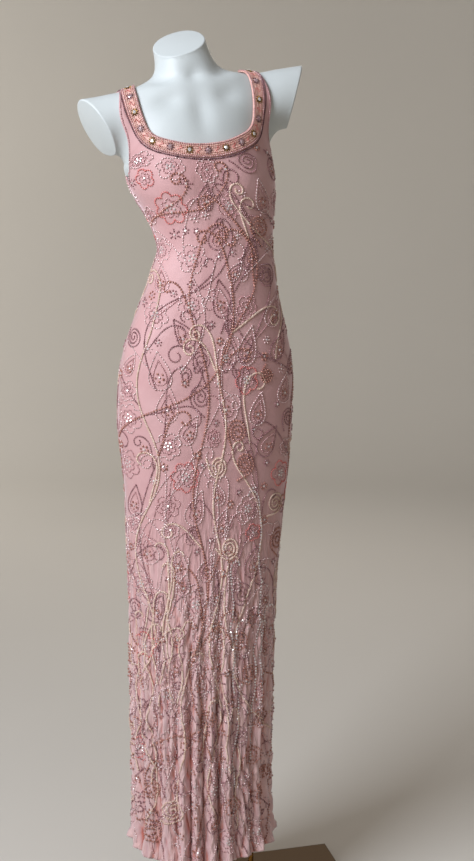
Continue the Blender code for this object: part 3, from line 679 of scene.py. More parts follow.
def figure_net():
    """The figure's surface as a net of four-sided faces."""
    low = np.array([-0.262, -0.135, FORM_BOTTOM - 0.012])
    high = np.array([0.262, 0.145, NECK_CUT_HEIGHT + 0.075])
    axes = [np.linspace(low[a], high[a], round((high[a] - low[a]) / FORM_CELL) + 1) for a in range(3)]
    counts = np.array([len(axis) - 1 for axis in axes])
    grid = np.stack(np.meshgrid(*axes, indexing="ij"), axis=-1)
    field = figure_field(grid)
    field[0], field[-1], field[:, :, 0], field[:, :, -1] = 1.0, 1.0, 1.0, 1.0
    inside = field < 0
    total = np.zeros(tuple(counts) + (3,))
    hits = np.zeros(tuple(counts))
    cell = [slice(0, n) for n in counts]
    for axis in range(3):
        others = [other for other in range(3) if other != axis]
        for first, second in ((0, 0), (0, 1), (1, 0), (1, 1)):
            spot = [None, None, None]
            spot[axis] = cell[axis]
            spot[others[0]] = slice(first, counts[others[0]] + first)
            spot[others[1]] = slice(second, counts[others[1]] + second)
            after = list(spot)
            after[axis] = slice(1, counts[axis] + 1)
            a, b = field[tuple(spot)], field[tuple(after)]
            crossed = (a < 0) != (b < 0)
            part = np.where(crossed, a / np.where(crossed, a - b, 1), 0)
            start, end = grid[tuple(spot)], grid[tuple(after)]
            total += np.where(crossed[..., None], start + (end - start) * part[..., None], 0)
            hits += crossed
    used = hits > 0
    corners = total[used] / hits[used][:, None]
    for _ in range(3):
        slope = field_slope(corners)
        free = (corners[:, 2] > axes[2][1]) & (corners[:, 2] < axes[2][-2]) & (np.abs(corners[:, 0]) < axes[0][-2])
        moved = figure_field(corners) / np.maximum((slope**2).sum(axis=1), 0.25)
        corners = corners - slope * np.where(free, moved, 0)[:, None]
    number = np.full(tuple(counts), -1)
    number[used] = np.arange(used.sum())
    faces = []
    for axis in range(3):
        second, third = (axis + 1) % 3, (axis + 2) % 3
        before = [slice(None)] * 3
        after = [slice(None)] * 3
        before[axis], after[axis] = slice(0, -1), slice(1, None)
        places = np.argwhere(inside[tuple(before)] != inside[tuple(after)])
        fits = (places[:, second] > 0) & (places[:, third] > 0)
        fits &= (places[:, second] < counts[second]) & (places[:, third] < counts[third])
        places = places[fits]
        loop = []
        for back_second, back_third in ((0, 0), (1, 0), (1, 1), (0, 1)):
            spot = places.copy()
            spot[:, second] -= back_second
            spot[:, third] -= back_third
            loop.append(number[spot[:, 0], spot[:, 1], spot[:, 2]])
        faces.extend(np.stack(loop, axis=1).tolist())
    return corners, faces


def cut_and_round(mesh, point, normal, radius, beyond=None):
    """Cuts the mesh with a plane, drops what lies past it, rounds the rim and closes the cut."""
    faces = mesh.faces[:]
    if beyond is not None:
        side, across, height = beyond
        faces = [f for f in faces if min(v.co.z for v in f.verts) > height]
        faces = [f for f in faces if min(side * v.co.x for v in f.verts) > across]
    verts = list({v for f in faces for v in f.verts})
    edges = list({e for f in faces for e in f.edges})
    bmesh.ops.bisect_plane(
        mesh, geom=verts + edges + faces, dist=1e-5, plane_co=Vector(point) - normal * radius, plane_no=normal,
        clear_outer=True,
    )
    bmesh.ops.remove_doubles(mesh, verts=[v for v in mesh.verts if v.is_boundary], dist=0.0009)
    rim = [edge for edge in mesh.edges if edge.is_boundary]
    centre = sum((v.co for edge in rim for v in edge.verts), Vector()) / (2 * len(rim))
    for step in range(4):
        turn, following = math.pi / 8 * step, math.pi / 8 * (step + 1)
        grown = bmesh.ops.extrude_edge_only(mesh, edges=rim)["geom"]
        new_verts = [item for item in grown if isinstance(item, bmesh.types.BMVert)]
        rim = [item for item in grown if isinstance(item, bmesh.types.BMEdge) and item.is_boundary]
        rise = radius * (math.sin(following) - math.sin(turn))
        inwards = radius * (math.cos(turn) - math.cos(following))
        for vert in new_verts:
            towards = centre - vert.co
            towards -= normal * towards.dot(normal)
            vert.co += normal * rise + towards.normalized() * inwards
    bmesh.ops.edgeloop_fill(mesh, edges=rim)


corners, net_faces = figure_net()
facing = field_normal(corners)
hollow = np.zeros(len(corners))
for across, height, half_width, half_height, depth in CHEST_HOLLOWS:
    for middle in {across, -across}:
        aside = (corners[:, 0] - middle) / half_width
        above = (corners[:, 2] - height) / half_height
        hollow += depth * np.exp(-aside**2 - above**2)
corners = corners - facing * (hollow * np.clip(-2 * facing[:, 1], 0, 1))[:, None]
form_mesh = bmesh.new()
form_verts = [form_mesh.verts.new(p) for p in corners]
for corner_numbers in net_faces:
    if len(set(corner_numbers)) == 4:
        form_mesh.faces.new([form_verts[index] for index in corner_numbers])
bmesh.ops.delete(form_mesh, geom=[v for v in form_mesh.verts if not v.link_faces], context="VERTS")
bmesh.ops.recalc_face_normals(form_mesh, faces=form_mesh.faces[:])
for side, sign in (("left", -1), ("right", 1)):
    top, bottom = ARM_CUT_TOP[side], ARM_CUT_BOTTOM[side]
    outward = Vector((sign * (top[1] - bottom[1]), 0, -sign * (top[0] - bottom[0]))).normalized()
    turned_outward = Matrix.Rotation(-sign * ARM_CUT_FORWARD, 3, "Z") @ outward
    cut_and_round(form_mesh, (top[0], 0, top[1]), turned_outward, RIM_RADIUS, (sign, ARM_ROOT[0], ARM_ROOT[1]))
tipped = Matrix.Rotation(-NECK_CUT_SIDEWAYS, 3, "Y") @ Matrix.Rotation(NECK_CUT_FORWARD, 3, "X")
cut_and_round(form_mesh, (0, 0, NECK_CUT_HEIGHT), tipped @ Vector((0, 0, 1)), RIM_RADIUS)
cut_and_round(form_mesh, (0, 0, FORM_BOTTOM), Vector((0, 0, -1)), RIM_RADIUS)
placed = pose(np.array([tuple(v.co) for v in form_mesh.verts]))
for vert, spot in zip(form_mesh.verts, placed):
    vert.co = spot
bmesh.ops.recalc_face_normals(form_mesh, faces=form_mesh.faces[:])
form = finished("dress_form", form_mesh)
for polygon in form.data.polygons:
    if len(polygon.vertices) > 8:
        polygon.use_smooth = False
form.data.set_sharp_from_angle(angle=math.radians(60))
print("dress form faces", len(form.data.polygons))
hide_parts("form_torso")

# %% [markdown]
# A bead is a small squashed ball with a few faces. One is made for each kind, and copied along every line of that kind,
# turned to lie on the cloth. What differs between kinds is length, width, spacing and glass.

# %% Bead shapes
BEADS = {  # length, width, height, pitch along the line, turn against the line
    "mauve_seeds": (0.0037, 0.0034, 0.0028, 0.0038, 0),
    "silver_bugles": (0.0051, 0.0026, 0.0027, 0.0051, 0),
    "cream_cord": (0.0054, 0.0034, 0.0028, 0.0031, 40),
    "copper_seeds": (0.0043, 0.0046, 0.0033, 0.0050, 0),
    "coral_seeds": (0.0035, 0.0033, 0.0027, 0.0040, 0),
    "rose_seeds": (0.0036, 0.0029, 0.0026, 0.0037, 0),
    "peach_seeds": (0.0028, 0.0027, 0.0020, 0.0031, 0),
    "crystals": (0.0048, 0.0046, 0.0032, 0.0056, 0),
    "plum_seeds": (0.0036, 0.0032, 0.0028, 0.0034, 0),
}
PLAIN_BEADS = ("mauve_seeds", "cream_cord", "rose_seeds", "peach_seeds", "plum_seeds")  # the smallest, and so the most
LINE_CLEAR = 0.0032  # between a bead and the edge of its panel
lines = {(kind, face): [] for kind in BEADS for face in (FRONT, BACK)}
panel_edges = {face: panel_outline(face) for face in (FRONT, BACK)}


def bead_shape(length, width, height, plain=False):
    """The corners and faces of one bead, lying along x with its foot under z = 0. A plain one has 12 faces, not 20."""
    mesh = bmesh.new()
    if plain:
        bmesh.ops.create_uvsphere(mesh, u_segments=6, v_segments=2, radius=0.5)
    else:
        bmesh.ops.create_icosphere(mesh, subdivisions=1, radius=0.5)
    bmesh.ops.scale(mesh, vec=(length, width, height), verts=mesh.verts[:])
    bmesh.ops.translate(mesh, vec=(0, 0, height * 0.28), verts=mesh.verts[:])
    mesh.verts.index_update()
    corners = np.array([tuple(v.co) for v in mesh.verts])
    faces = np.array([[v.index for v in f.verts] for f in mesh.faces])
    mesh.free()
    return corners, faces


def scattered(name, shape, origins, ahead, normals, sizes, smooth=True):
    """Copies a shape to many places, each with its own direction and size, as one piece."""
    corners, faces = shape
    aside = np.cross(normals, ahead)
    axes = np.stack([ahead, aside, normals], axis=1)
    points = origins[:, None, :] + np.einsum("kc,nca->nka", corners, axes) * sizes[:, None, None]
    data = bpy.data.meshes.new(name)
    count = len(origins)
    numbers = (faces[None] + (np.arange(count) * len(corners))[:, None, None]).reshape(-1, faces.shape[1])
    data.vertices.add(count * len(corners))
    data.vertices.foreach_set("co", points.astype(np.float32).ravel())
    data.loops.add(numbers.size)
    data.loops.foreach_set("vertex_index", numbers.astype(np.int32).ravel())
    data.polygons.add(len(numbers))
    data.polygons.foreach_set("loop_start", np.arange(0, numbers.size, faces.shape[1], dtype=np.int32))
    data.polygons.foreach_set("use_smooth", np.full(len(numbers), smooth))
    data.update(calc_edges=True)
    made = bpy.data.objects.new(name, data)
    bpy.context.scene.collection.objects.link(made)
    return made


# %% [markdown]
# Lines are drawn in a plane of real metres, across the panel and up it, and then carried to the flat pattern, because
# a circle must stay a circle where the figure is narrow. A stem sways about one direction, and a tendril bends more
# and more, as an Euler spiral does: these two rules give vines, curls and full spirals.

# %% Drawing on the cloth
DRAWN_STEP = 0.0015


def reach(height):
    """Metres across the cloth for each radian round the figure."""
    deep = (section("front", height) + section("back", height)) / 2
    return np.sqrt((section("side", height) ** 2 + deep**2) / 2)


def on_pattern(drawn):
    """From the drawing plane to the flat pattern."""
    return np.stack([drawn[:, 0] / reach(np.minimum(drawn[:, 1], YOKE)) * ANGLE_RADIUS, drawn[:, 1]], axis=1)


def steps_along(start, headings):
    """The path that these headings lead along, one short step each."""
    moves = np.stack([np.cos(headings), np.sin(headings)], axis=1) * DRAWN_STEP
    return np.vstack([start, np.array(start) + np.cumsum(moves, axis=0)])


def stem(start, heading, length, sway, wave_length, phase):
    """A line that sways to both sides of one heading."""
    gone = np.arange(0, length, DRAWN_STEP)
    headings = heading + sway * np.sin(2 * math.pi * gone / wave_length + phase)
    return steps_along(start, headings), headings


def tendril(start, heading, length, first_bend, last_bend):
    """A line whose bend, in radians for each metre, grows towards its end, so that it curls up."""
    part = np.arange(0, length, DRAWN_STEP) / length
    headings = heading + np.cumsum(first_bend + (last_bend - first_bend) * part**2.2) * DRAWN_STEP
    return steps_along(start, headings)


def ring(centre, radius, lobes=0, depth=0.0, turn=0.0, points=90):
    """A closed round or scalloped outline."""
    t = np.linspace(0, 2 * math.pi, points + 1)
    scallop = 1 - depth + depth * np.abs(np.sin(lobes * t / 2)) ** 0.7 if lobes else np.ones_like(t)
    return np.stack(
        [centre[0] + radius * scallop * np.cos(t + turn), centre[1] + radius * scallop * np.sin(t + turn)], axis=1
    )


def drop(centre, length, width, turn, points=70):
    """A closed teardrop outline, its point at the top before it is turned."""
    t = np.linspace(0, 2 * math.pi, points + 1)
    x = width / 2 * np.sin(t) * np.sin(t / 2) ** 1.4
    y = length / 2 * np.cos(t)
    return np.stack(
        [centre[0] + x * math.cos(turn) - y * math.sin(turn), centre[1] + x * math.sin(turn) + y * math.cos(turn)],
        axis=1,
    )


def sew(kind, face, drawn):
    lines[(kind, face)].append(on_pattern(drawn))


def sew_dot(kind, face, centre):
    sew(kind, face, np.array([centre, centre + np.array([0.0001, 0.0001])]))


def flower(face, centre, radius, lobes, turn, outline_kind, inner_kind):
    """A scalloped outline round a smaller one, with a crystal heart."""
    sew(outline_kind, face, ring(centre, radius, lobes, 0.30, turn))
    sew(inner_kind, face, ring(centre, radius * 0.58, lobes, 0.34, turn, 60))
    sew_dot("crystals", face, centre)
    for point in range(5):
        heading = turn + point * 2 * math.pi / 5
        spot = centre + radius * 0.24 * np.array([math.cos(heading), math.sin(heading)])
        sew_dot("rose_seeds" if radius < 0.022 else "crystals", face, spot)


def curl(face, centre, radius, turn, side, kind, turns=2.6):
    """A filled spiral that winds outwards and leaves in a tail."""
    t = np.linspace(0, 1, 200)
    spin = turn + side * t * 2 * math.pi * turns
    out = radius * (0.12 + 0.88 * t)
    drawn = np.stack([centre[0] + out * np.cos(spin), centre[1] + out * np.sin(spin)], axis=1)
    heading = spin[-1] + side * math.pi / 2
    tail = tendril(drawn[-1], heading, radius * 1.6, side * 0.6 / radius, -side * 0.9 / radius)
    sew(kind, face, np.vstack([drawn, tail[1:]]))


def star(face, centre, radius, turn, kind, points=6):
    """Short rays round one crystal."""
    for point in range(points):
        heading = turn + point * 2 * math.pi / points
        out = np.array([math.cos(heading), math.sin(heading)])
        sew(kind, face, np.array([centre + out * radius * 0.40, centre + out * radius]))
    sew_dot("crystals", face, centre)


# %% [markdown]
# The layout is this part's own. Stems rise from the hem side by side, sway, and end in a curl at the hip, the waist or
# the bust. Each throws tendrils to either side. Broad sweeps cross the body from one side seam to the other. Flowers,
# spirals, drops and stars fill the room between, and short streaks run down the skirt. Everything random comes from
# one seed, so the dress is the same each time.

# %% Stems, tendrils and sweeps
LAYOUT_SEED = 20
random = np.random.default_rng(LAYOUT_SEED)
STEM_KINDS = ("silver_bugles", "cream_cord", "rose_seeds", "mauve_seeds", "silver_bugles", "copper_seeds")
TENDRIL_KINDS = ("silver_bugles", "cream_cord", "mauve_seeds", "silver_bugles", "rose_seeds", "copper_seeds",
                 "silver_bugles", "mauve_seeds")
STEM_COUNT = 14
STEM_LENGTHS = (0.56, 0.84, 0.46, 1.02, 0.68, 0.92, 0.50, 1.10)
TENDRIL_SPACING = 0.075
SWEEPS = (  # start across and up, heading in degrees, length, sway, wave length, phase, kind
    (-0.190, 0.64, 66, 0.74, 0.78, 0.62, 0.4, "copper_seeds"),
    (0.190, 0.70, 110, 0.66, 0.84, 0.56, 3.0, "mauve_seeds"),
    (0.150, 0.36, 100, 0.56, 0.60, 0.56, 1.0, "cream_cord"),
    (-0.150, 0.34, 82, 0.60, 0.60, 0.60, 4.0, "silver_bugles"),
    (-0.125, 1.02, 66, 0.30, 0.75, 0.36, 1.2, "mauve_seeds"),
    (-0.085, 1.05, 84, 0.27, 0.60, 0.30, 4.2, "silver_bugles"),
    (0.012, 1.00, 92, 0.34, 0.62, 0.38, 2.4, "copper_seeds"),
    (0.085, 1.03, 98, 0.33, 0.65, 0.34, 0.8, "mauve_seeds"),
    (0.125, 1.07, 108, 0.28, 0.70, 0.32, 3.4, "cream_cord"),
    (-0.150, 1.30, 34, 0.15, 0.55, 0.26, 2.8, "copper_seeds"),
    (0.150, 1.30, 142, 0.16, 0.60, 0.28, 0.2, "rose_seeds"),
)
END_CURL = (0.17, 190)  # its length, and its last bend in radians for each metre


def throw_tendrils(face, path, headings, spacing):
    """Curling side shoots, to the left and the right in turn."""
    side = 1 if random.random() < 0.5 else -1
    every = round(spacing / DRAWN_STEP)
    for index in range(every // 2, len(headings) - every // 3, every):
        side = -side
        growing = random.uniform(0.090, 0.190)
        turning = random.uniform(16, 27) / growing
        start_heading = headings[index] + side * random.uniform(0.30, 0.60)
        drawn = tendril(path[index], start_heading, growing, -side * 6.0, side * turning)
        sew(TENDRIL_KINDS[random.integers(len(TENDRIL_KINDS))], face, drawn)


for face in (FRONT, BACK):
    for number, across in enumerate(np.linspace(-0.180, 0.180, STEM_COUNT)):
        start = (across + random.uniform(-0.006, 0.006), HEM + 0.006)
        length = STEM_LENGTHS[(number * 3 + (1 if face == BACK else 0)) % len(STEM_LENGTHS)]
        heading = math.radians(90 - across * 12 + random.uniform(-2, 2))
        path, headings = stem(start, heading, length, random.uniform(0.24, 0.46), random.uniform(0.26, 0.44),
                              random.uniform(0, 6.28))
        side = 1 if random.random() < 0.5 else -1
        ending = tendril(path[-1], headings[-1], END_CURL[0], 0, side * END_CURL[1])
        kind = STEM_KINDS[(number + (2 if face == BACK else 0)) % len(STEM_KINDS)]
        sew(kind, face, np.vstack([path, ending[1:]]))
        throw_tendrils(face, path, headings, TENDRIL_SPACING * random.uniform(0.9, 1.3))
    for across, height, heading, length, sway, wave_length, phase, kind in SWEEPS:
        if face == BACK:
            across, heading, phase = -across, 180 - heading, phase + math.pi
        path, headings = stem((across, height), math.radians(heading), length, sway, wave_length, phase)
        side = 1 if random.random() < 0.5 else -1
        ending = tendril(path[-1], headings[-1], END_CURL[0] * 0.7, 0, side * END_CURL[1])
        sew(kind, face, np.vstack([path, ending[1:]]))
        throw_tendrils(face, path, headings, 0.085)

# %% Flowers, spirals, drops and stars
MOTIF_SIZES = ((900, 0.0250), (2200, 0.0180), (4200, 0.0088))  # tries up to this number, radius
MOTIF_GAP = 0.0022
MOTIF_TOP = 1.445
tries = np.arange(MOTIF_SIZES[-1][0])
for face in (FRONT, BACK):
    radii = np.select([tries < limit for limit, size in MOTIF_SIZES], [size for limit, size in MOTIF_SIZES])
    radii = radii * random.uniform(0.85, 1.12, len(tries))
    centres = random.uniform((-0.215, HEM + 0.035), (0.215, MOTIF_TOP), (len(tries), 2))
    flat_centres = on_pattern(centres)
    fits = in_outline(flat_centres, panel_edges[face])
    fits &= outline_distance(flat_centres, panel_edges[face]) > radii * 0.8
    kept = []
    for centre, radius in zip(centres[fits], radii[fits]):
        if any(math.dist(centre, other) < radius + other_radius + MOTIF_GAP for other, other_radius in kept):
            continue
        kept.append((centre, radius))
        choice, turn, lobes = random.random(), random.uniform(0, 2 * math.pi), int(random.integers(5, 8))
        if radius < 0.011:
            star(face, centre, radius, turn, ("mauve_seeds", "copper_seeds", "silver_bugles")[lobes - 5])
        elif choice < 0.38:
            outline_kind = ("silver_bugles", "rose_seeds", "coral_seeds", "silver_bugles")[int(choice * 10)]
            flower(face, centre, radius, lobes, turn, outline_kind, "rose_seeds")
        elif choice < 0.66:
            kind = "copper_seeds" if choice < 0.54 else "cream_cord" if choice < 0.60 else "mauve_seeds"
            curl(face, centre, radius * 0.80, turn, 1 if turn > 3 else -1, kind)
        else:
            lean = random.uniform(-0.7, 0.7)
            sew("mauve_seeds" if choice < 0.8 else "silver_bugles", face, drop(centre, radius * 2.5, radius * 2.0, lean))
            sew("rose_seeds", face, drop(centre - (0, radius * 0.15), radius * 1.6, radius * 1.2, lean))
            star(face, centre - (0, radius * 0.45), radius * 0.42, turn, "copper_seeds", 5)
    print("motifs on the", "front" if face == FRONT else "back", len(kept))

# %% Streaks down the skirt
STREAK_COUNT = 44
STREAK_TOP = 0.64
STREAK_KINDS = ("cream_cord", "silver_bugles", "cream_cord", "rose_seeds", "crystals", "cream_cord", "silver_bugles")
for face in (FRONT, BACK):
    for number in range(STREAK_COUNT):
        start = (random.uniform(-0.180, 0.180), random.uniform(HEM + 0.01, STREAK_TOP))
        heading = math.radians(90 + random.uniform(-4, 4))
        path, headings = stem(start, heading, random.uniform(0.08, 0.28), random.uniform(0.10, 0.26),
                              random.uniform(0.09, 0.20), random.uniform(0, 6.28))
        side = 1 if random.random() < 0.5 else -1
        ending = tendril(path[-1], headings[-1], 0.06, 0, side * 200)
        sew(STREAK_KINDS[number % len(STREAK_KINDS)], face, np.vstack([path, ending[1:]]))

# %% [markdown]
# The edges are finished with beads too: a dark line where the neckband meets the bodice, a rose one along each armhole,
# and on the band itself packed rows of peach seeds between two rose ones.

# %% Edge lines and the neckband's rows
NECK_LINE = 0.0027  # from the band's edge to the middle of the dark line
ARM_LINE = 0.0026  # from the armhole's edge to the middle of its line
BAND_ROWS = (  # share of the band's width, kind
    (0.07, "rose_seeds"),
    (0.21, "peach_seeds"),
    (0.34, "peach_seeds"),
    (0.66, "peach_seeds"),
    (0.79, "peach_seeds"),
    (0.93, "rose_seeds"),
)
band_lines = {(kind, face): [] for kind in BEADS for face in (FRONT, BACK)}
edge_lines = {(kind, face): [] for kind in BEADS for face in (FRONT, BACK)}
for face, neckline, armhole in ((FRONT, FRONT_NECKLINE, FRONT_ARMHOLE), (BACK, BACK_NECKLINE, BACK_ARMHOLE)):
    half = edge_curve(neckline, 0.003)
    for share, kind in BAND_ROWS:
        band_lines[(kind, face)].append(both_sides(beside(half, face, BAND_WIDTH * share)))
    edge_lines[("plum_seeds", face)].append(both_sides(beside(half, face, BAND_WIDTH + NECK_LINE)))
    arm_line = beside(edge_curve(armhole, 0.003)[::-1], face, -ARM_LINE)
    for side in (-1, 1):
        edge_lines[("rose_seeds", face)].append(arm_line * (side, 1))


# %% Sew the beads on
def place_beads(paths, kind, face, wall, clear_of=None):
    """Where the beads of some lines lie on the cloth: places, directions along the line and out of it."""
    length, width, height, pitch, turn = BEADS[kind]
    everything = np.vstack(paths)
    real = cloth_middle(everything, face, wall)
    spots, ahead = [], []
    start = 0
    for path in paths:
        own = real[start:start + len(path)]
        start += len(path)
        gone = np.concatenate([[0], np.cumsum(np.linalg.norm(np.diff(own, axis=0), axis=1))])
        where = np.arange(pitch / 2, max(gone[-1], pitch * 0.6), pitch)
        spot = np.stack([np.interp(where, gone, path[:, axis]) for axis in (0, 1)], axis=1)
        nearby = np.stack([np.interp(where + 0.0006, gone, path[:, axis]) for axis in (0, 1)], axis=1)
        before = np.stack([np.interp(where - 0.0006, gone, path[:, axis]) for axis in (0, 1)], axis=1)
        spots.append(spot)
        ahead.append(nearby - before)
    spots, ahead = np.vstack(spots), np.vstack(ahead)
    ahead[np.linalg.norm(ahead, axis=1) < 1e-7] = (0.0003, 0)
    if clear_of is not None:
        kept = in_outline(spots, clear_of)
        kept &= outline_distance(spots, clear_of) > LINE_CLEAR
        spots, ahead = spots[kept], ahead[kept]
    middle, normal = cloth_surface(spots, face, wall)
    forward = cloth_middle(spots + ahead, face, wall) - middle
    forward -= normal * (forward * normal).sum(axis=1, keepdims=True)
    forward /= np.maximum(np.linalg.norm(forward, axis=1, keepdims=True), 1e-9)
    if turn:
        aside = np.cross(normal, forward)
        forward = forward * math.cos(math.radians(turn)) + aside * math.sin(math.radians(turn))
    return middle + normal * wall / 2, forward, normal


bead_pieces = {kind: [] for kind in BEADS}
bead_total = 0
for kind, (length, width, height, pitch, turn) in BEADS.items():
    for face, side_name in ((FRONT, "front"), (BACK, "back")):
        sewn = []
        if lines[(kind, face)]:
            sewn.append(place_beads(lines[(kind, face)], kind, face, CLOTH_WALL, panel_edges[face]))
        if edge_lines[(kind, face)]:
            sewn.append(place_beads(edge_lines[(kind, face)], kind, face, CLOTH_WALL))
        if band_lines[(kind, face)]:
            origins, forward, normals = place_beads(band_lines[(kind, face)], kind, face, BAND_WALL)
            sewn.append((origins + normals * BAND_CROWN, forward, normals))
        origins, forward, normals = (np.vstack([group[part] for group in sewn]) for part in range(3))
        sizes = random.uniform(0.88, 1.12, len(origins))
        piece = scattered(
            f"{kind}_{side_name}", bead_shape(length, width, height, kind in PLAIN_BEADS), origins, forward, normals, sizes,
            smooth=kind != "crystals",
        )
        bead_pieces[kind].append(piece)
        bead_total += len(origins)
        print(piece.name, "beads", len(origins))
print("beads in all", bead_total)

# %% [markdown]
# The neckband carries large round stones about 3 cm apart. By turns they are a clear stone in a gilt cup with eight
# gilt seeds round it, like a small flower, and a pale oval one in a mauve ring. Each stone is flat on top and bevelled
# to its girdle. Between them lie groups of coral seeds.

# %% Set stones
STONE_SPACING = 0.0305
PETAL_RING = 0.0055
PETAL_COUNT = 8


def ring_shape(radii, heights, sides):
    """A round shape built up from a circle by extruding and scaling, as corners and faces of one size."""
    mesh = bmesh.new()
    rings = []
    for radius, height in zip(radii, heights):
        loop = bmesh.ops.create_circle(mesh, cap_ends=False, radius=radius, segments=sides)["verts"]
        bmesh.ops.translate(mesh, vec=(0, 0, height), verts=loop)
        for first, second in zip(loop, loop[1:] + loop[:1]):
            if mesh.edges.get((first, second)) is None:
                mesh.edges.new((first, second))
        rings.append(loop)
    for lower, upper in zip(rings, rings[1:]):
        edges = []
        for loop in (lower, upper):
            edges += [mesh.edges.get((a, b)) for a, b in zip(loop, loop[1:] + loop[:1])]
        bmesh.ops.bridge_loops(mesh, edges=edges)
    mesh.faces.new(rings[-1])
    bmesh.ops.recalc_face_normals(mesh, faces=mesh.faces[:])
    bmesh.ops.triangulate(mesh, faces=mesh.faces[:])
    mesh.verts.index_update()
    corners = np.array([tuple(v.co) for v in mesh.verts])
    faces = np.array([[v.index for v in f.verts] for f in mesh.faces])
    mesh.free()
    return corners, faces


cup_shape = ring_shape(
    (0.0036, 0.0041, 0.0040, 0.0034, 0.0031), (-0.0004, 0.0006, 0.0019, 0.0023, 0.0015), 16
)
stone_shape = ring_shape((0.0033, 0.0032, 0.0018), (0.0008, 0.0023, 0.0034), 8)
oval_stone_shape = ring_shape((0.0040, 0.0038, 0.0022), (-0.0003, 0.0018, 0.0028), 10)

flower_stones, oval_stones, petals, mauve_petals, coral_groups = [], [], [], [], []
for face, neckline in ((FRONT, FRONT_NECKLINE), (BACK, BACK_NECKLINE)):
    half = edge_curve(neckline, 0.0095)
    middle_line = both_sides(beside(half, face, BAND_WIDTH / 2))
    real = figure_point(middle_line[:, 0] / ANGLE_RADIUS, middle_line[:, 1], face)
    gone = np.concatenate([[0], np.cumsum(np.linalg.norm(np.diff(real, axis=0), axis=1))])
    count = round(gone[-1] / STONE_SPACING)
    where = np.concatenate([(np.arange(count) + 0.5), (np.arange(1, count))]) * gone[-1] / count
    spot = np.stack([np.interp(where, gone, middle_line[:, axis]) for axis in (0, 1)], axis=1)
    ahead = np.stack([np.interp(where + 0.001, gone, middle_line[:, axis]) for axis in (0, 1)], axis=1) - spot
    middle, normal = cloth_surface(spot, face, BAND_WALL)
    forward = cloth_middle(spot + ahead, face, BAND_WALL) - middle
    forward -= normal * (forward * normal).sum(axis=1, keepdims=True)
    forward /= np.linalg.norm(forward, axis=1, keepdims=True)
    outside = middle + normal * (BAND_WALL / 2 + BAND_CROWN)
    for index in range(len(where)):
        aside = np.cross(normal[index], forward[index])
        if index >= count:
            for out, sideways in ((0, 0), (0.0030, 0.0016), (-0.0030, -0.0016), (0.0010, 0.0040), (-0.0010, -0.0040)):
                coral_groups.append(
                    (outside[index] + forward[index] * out + aside * sideways, forward[index], normal[index])
                )
            continue
        own_petals = mauve_petals if index % 2 else petals
        (oval_stones if index % 2 else flower_stones).append((outside[index], forward[index], normal[index]))
        for petal in range(PETAL_COUNT):
            turn = 2 * math.pi * petal / PETAL_COUNT
            outwards = forward[index] * math.cos(turn) + aside * math.sin(turn)
            own_petals.append((outside[index] + outwards * PETAL_RING, outwards, normal[index]))


def scattered_spots(name, shape, spots, smooth):
    origins, forward, normals = (np.array([spot[part] for spot in spots]) for part in range(3))
    return scattered(name, shape, origins, forward, normals, np.ones(len(spots)), smooth)


stone_pieces = {
    "clear": scattered_spots("band_stones_clear", stone_shape, flower_stones, False),
    "oval": scattered_spots("band_stones_oval", oval_stone_shape, oval_stones, False),
    "cups": scattered_spots("band_stone_cups", cup_shape, flower_stones, True),
    "petals": scattered_spots("band_petals_gilt", bead_shape(0.0036, 0.0027, 0.0028), petals, True),
    "mauve_petals": scattered_spots("band_petals_mauve", bead_shape(0.0028, 0.0034, 0.0026), mauve_petals, True),
    "coral": scattered_spots("band_coral_seeds", bead_shape(0.0027, 0.0026, 0.0022), coral_groups, True),
}
print("set stones", len(flower_stones) + len(oval_stones))

# %% [markdown]
# Silk chiffon is a sheer plain weave of hard-twisted yarn, crinkled when it is finished. Over its matching ground it
# looks matt and a little lighter where it turns away from the eye. Its colour carries painted shade, darker towards the
# fold and crinkle valleys, a paler painted sheen on the fold ridges and a painted highlight on the crinkle ridges. Its
# weave is 0.3 mm, too fine to show here, so the grain is drawn at 1.1 mm. The crinkle has its real 5 mm, and is strong
# only in the loose skirt. Between the bead lines the cloth puckers softly, about 3 cm from one swelling to the next.

# %% Chiffon
GRAIN = 0.0011
CRINKLE = (0.0052, 0.030)  # across, along
PUCKER = 0.030

chiffon, cloth_tree, cloth_shader = new_material(
    "silk_chiffon_crinkled", "C99A9C", 0.58, Sheen_Weight=0.95, Sheen_Roughness=0.40, Specular_IOR_Level=0.40
)
cloth_shader.inputs["Sheen Tint"].default_value = linear("F4E2EA")
pattern_place = add_node(cloth_tree, "ShaderNodeUVMap", {"uv_map": "pattern"})
crinkle_place = add_node(
    cloth_tree, "ShaderNodeMapping", values={"Scale": (1 / CRINKLE[0], 1 / CRINKLE[1], 1.0)},
    links={"Vector": pattern_place.outputs["UV"]},
)
crinkles = add_node(
    cloth_tree, "ShaderNodeTexNoise", {"noise_type": "RIDGED_MULTIFRACTAL"},
    {"Scale": 0.55, "Detail": 3.0, "Roughness": 0.55, "Lacunarity": 2.1, "Offset": 0.9, "Gain": 1.4, "Distortion": 0.5},
    links={"Vector": crinkle_place.outputs["Vector"]},
)
grain = add_node(
    cloth_tree, "ShaderNodeTexNoise", values={"Scale": 1 / GRAIN, "Detail": 1.0},
    links={"Vector": pattern_place.outputs["UV"]},
)
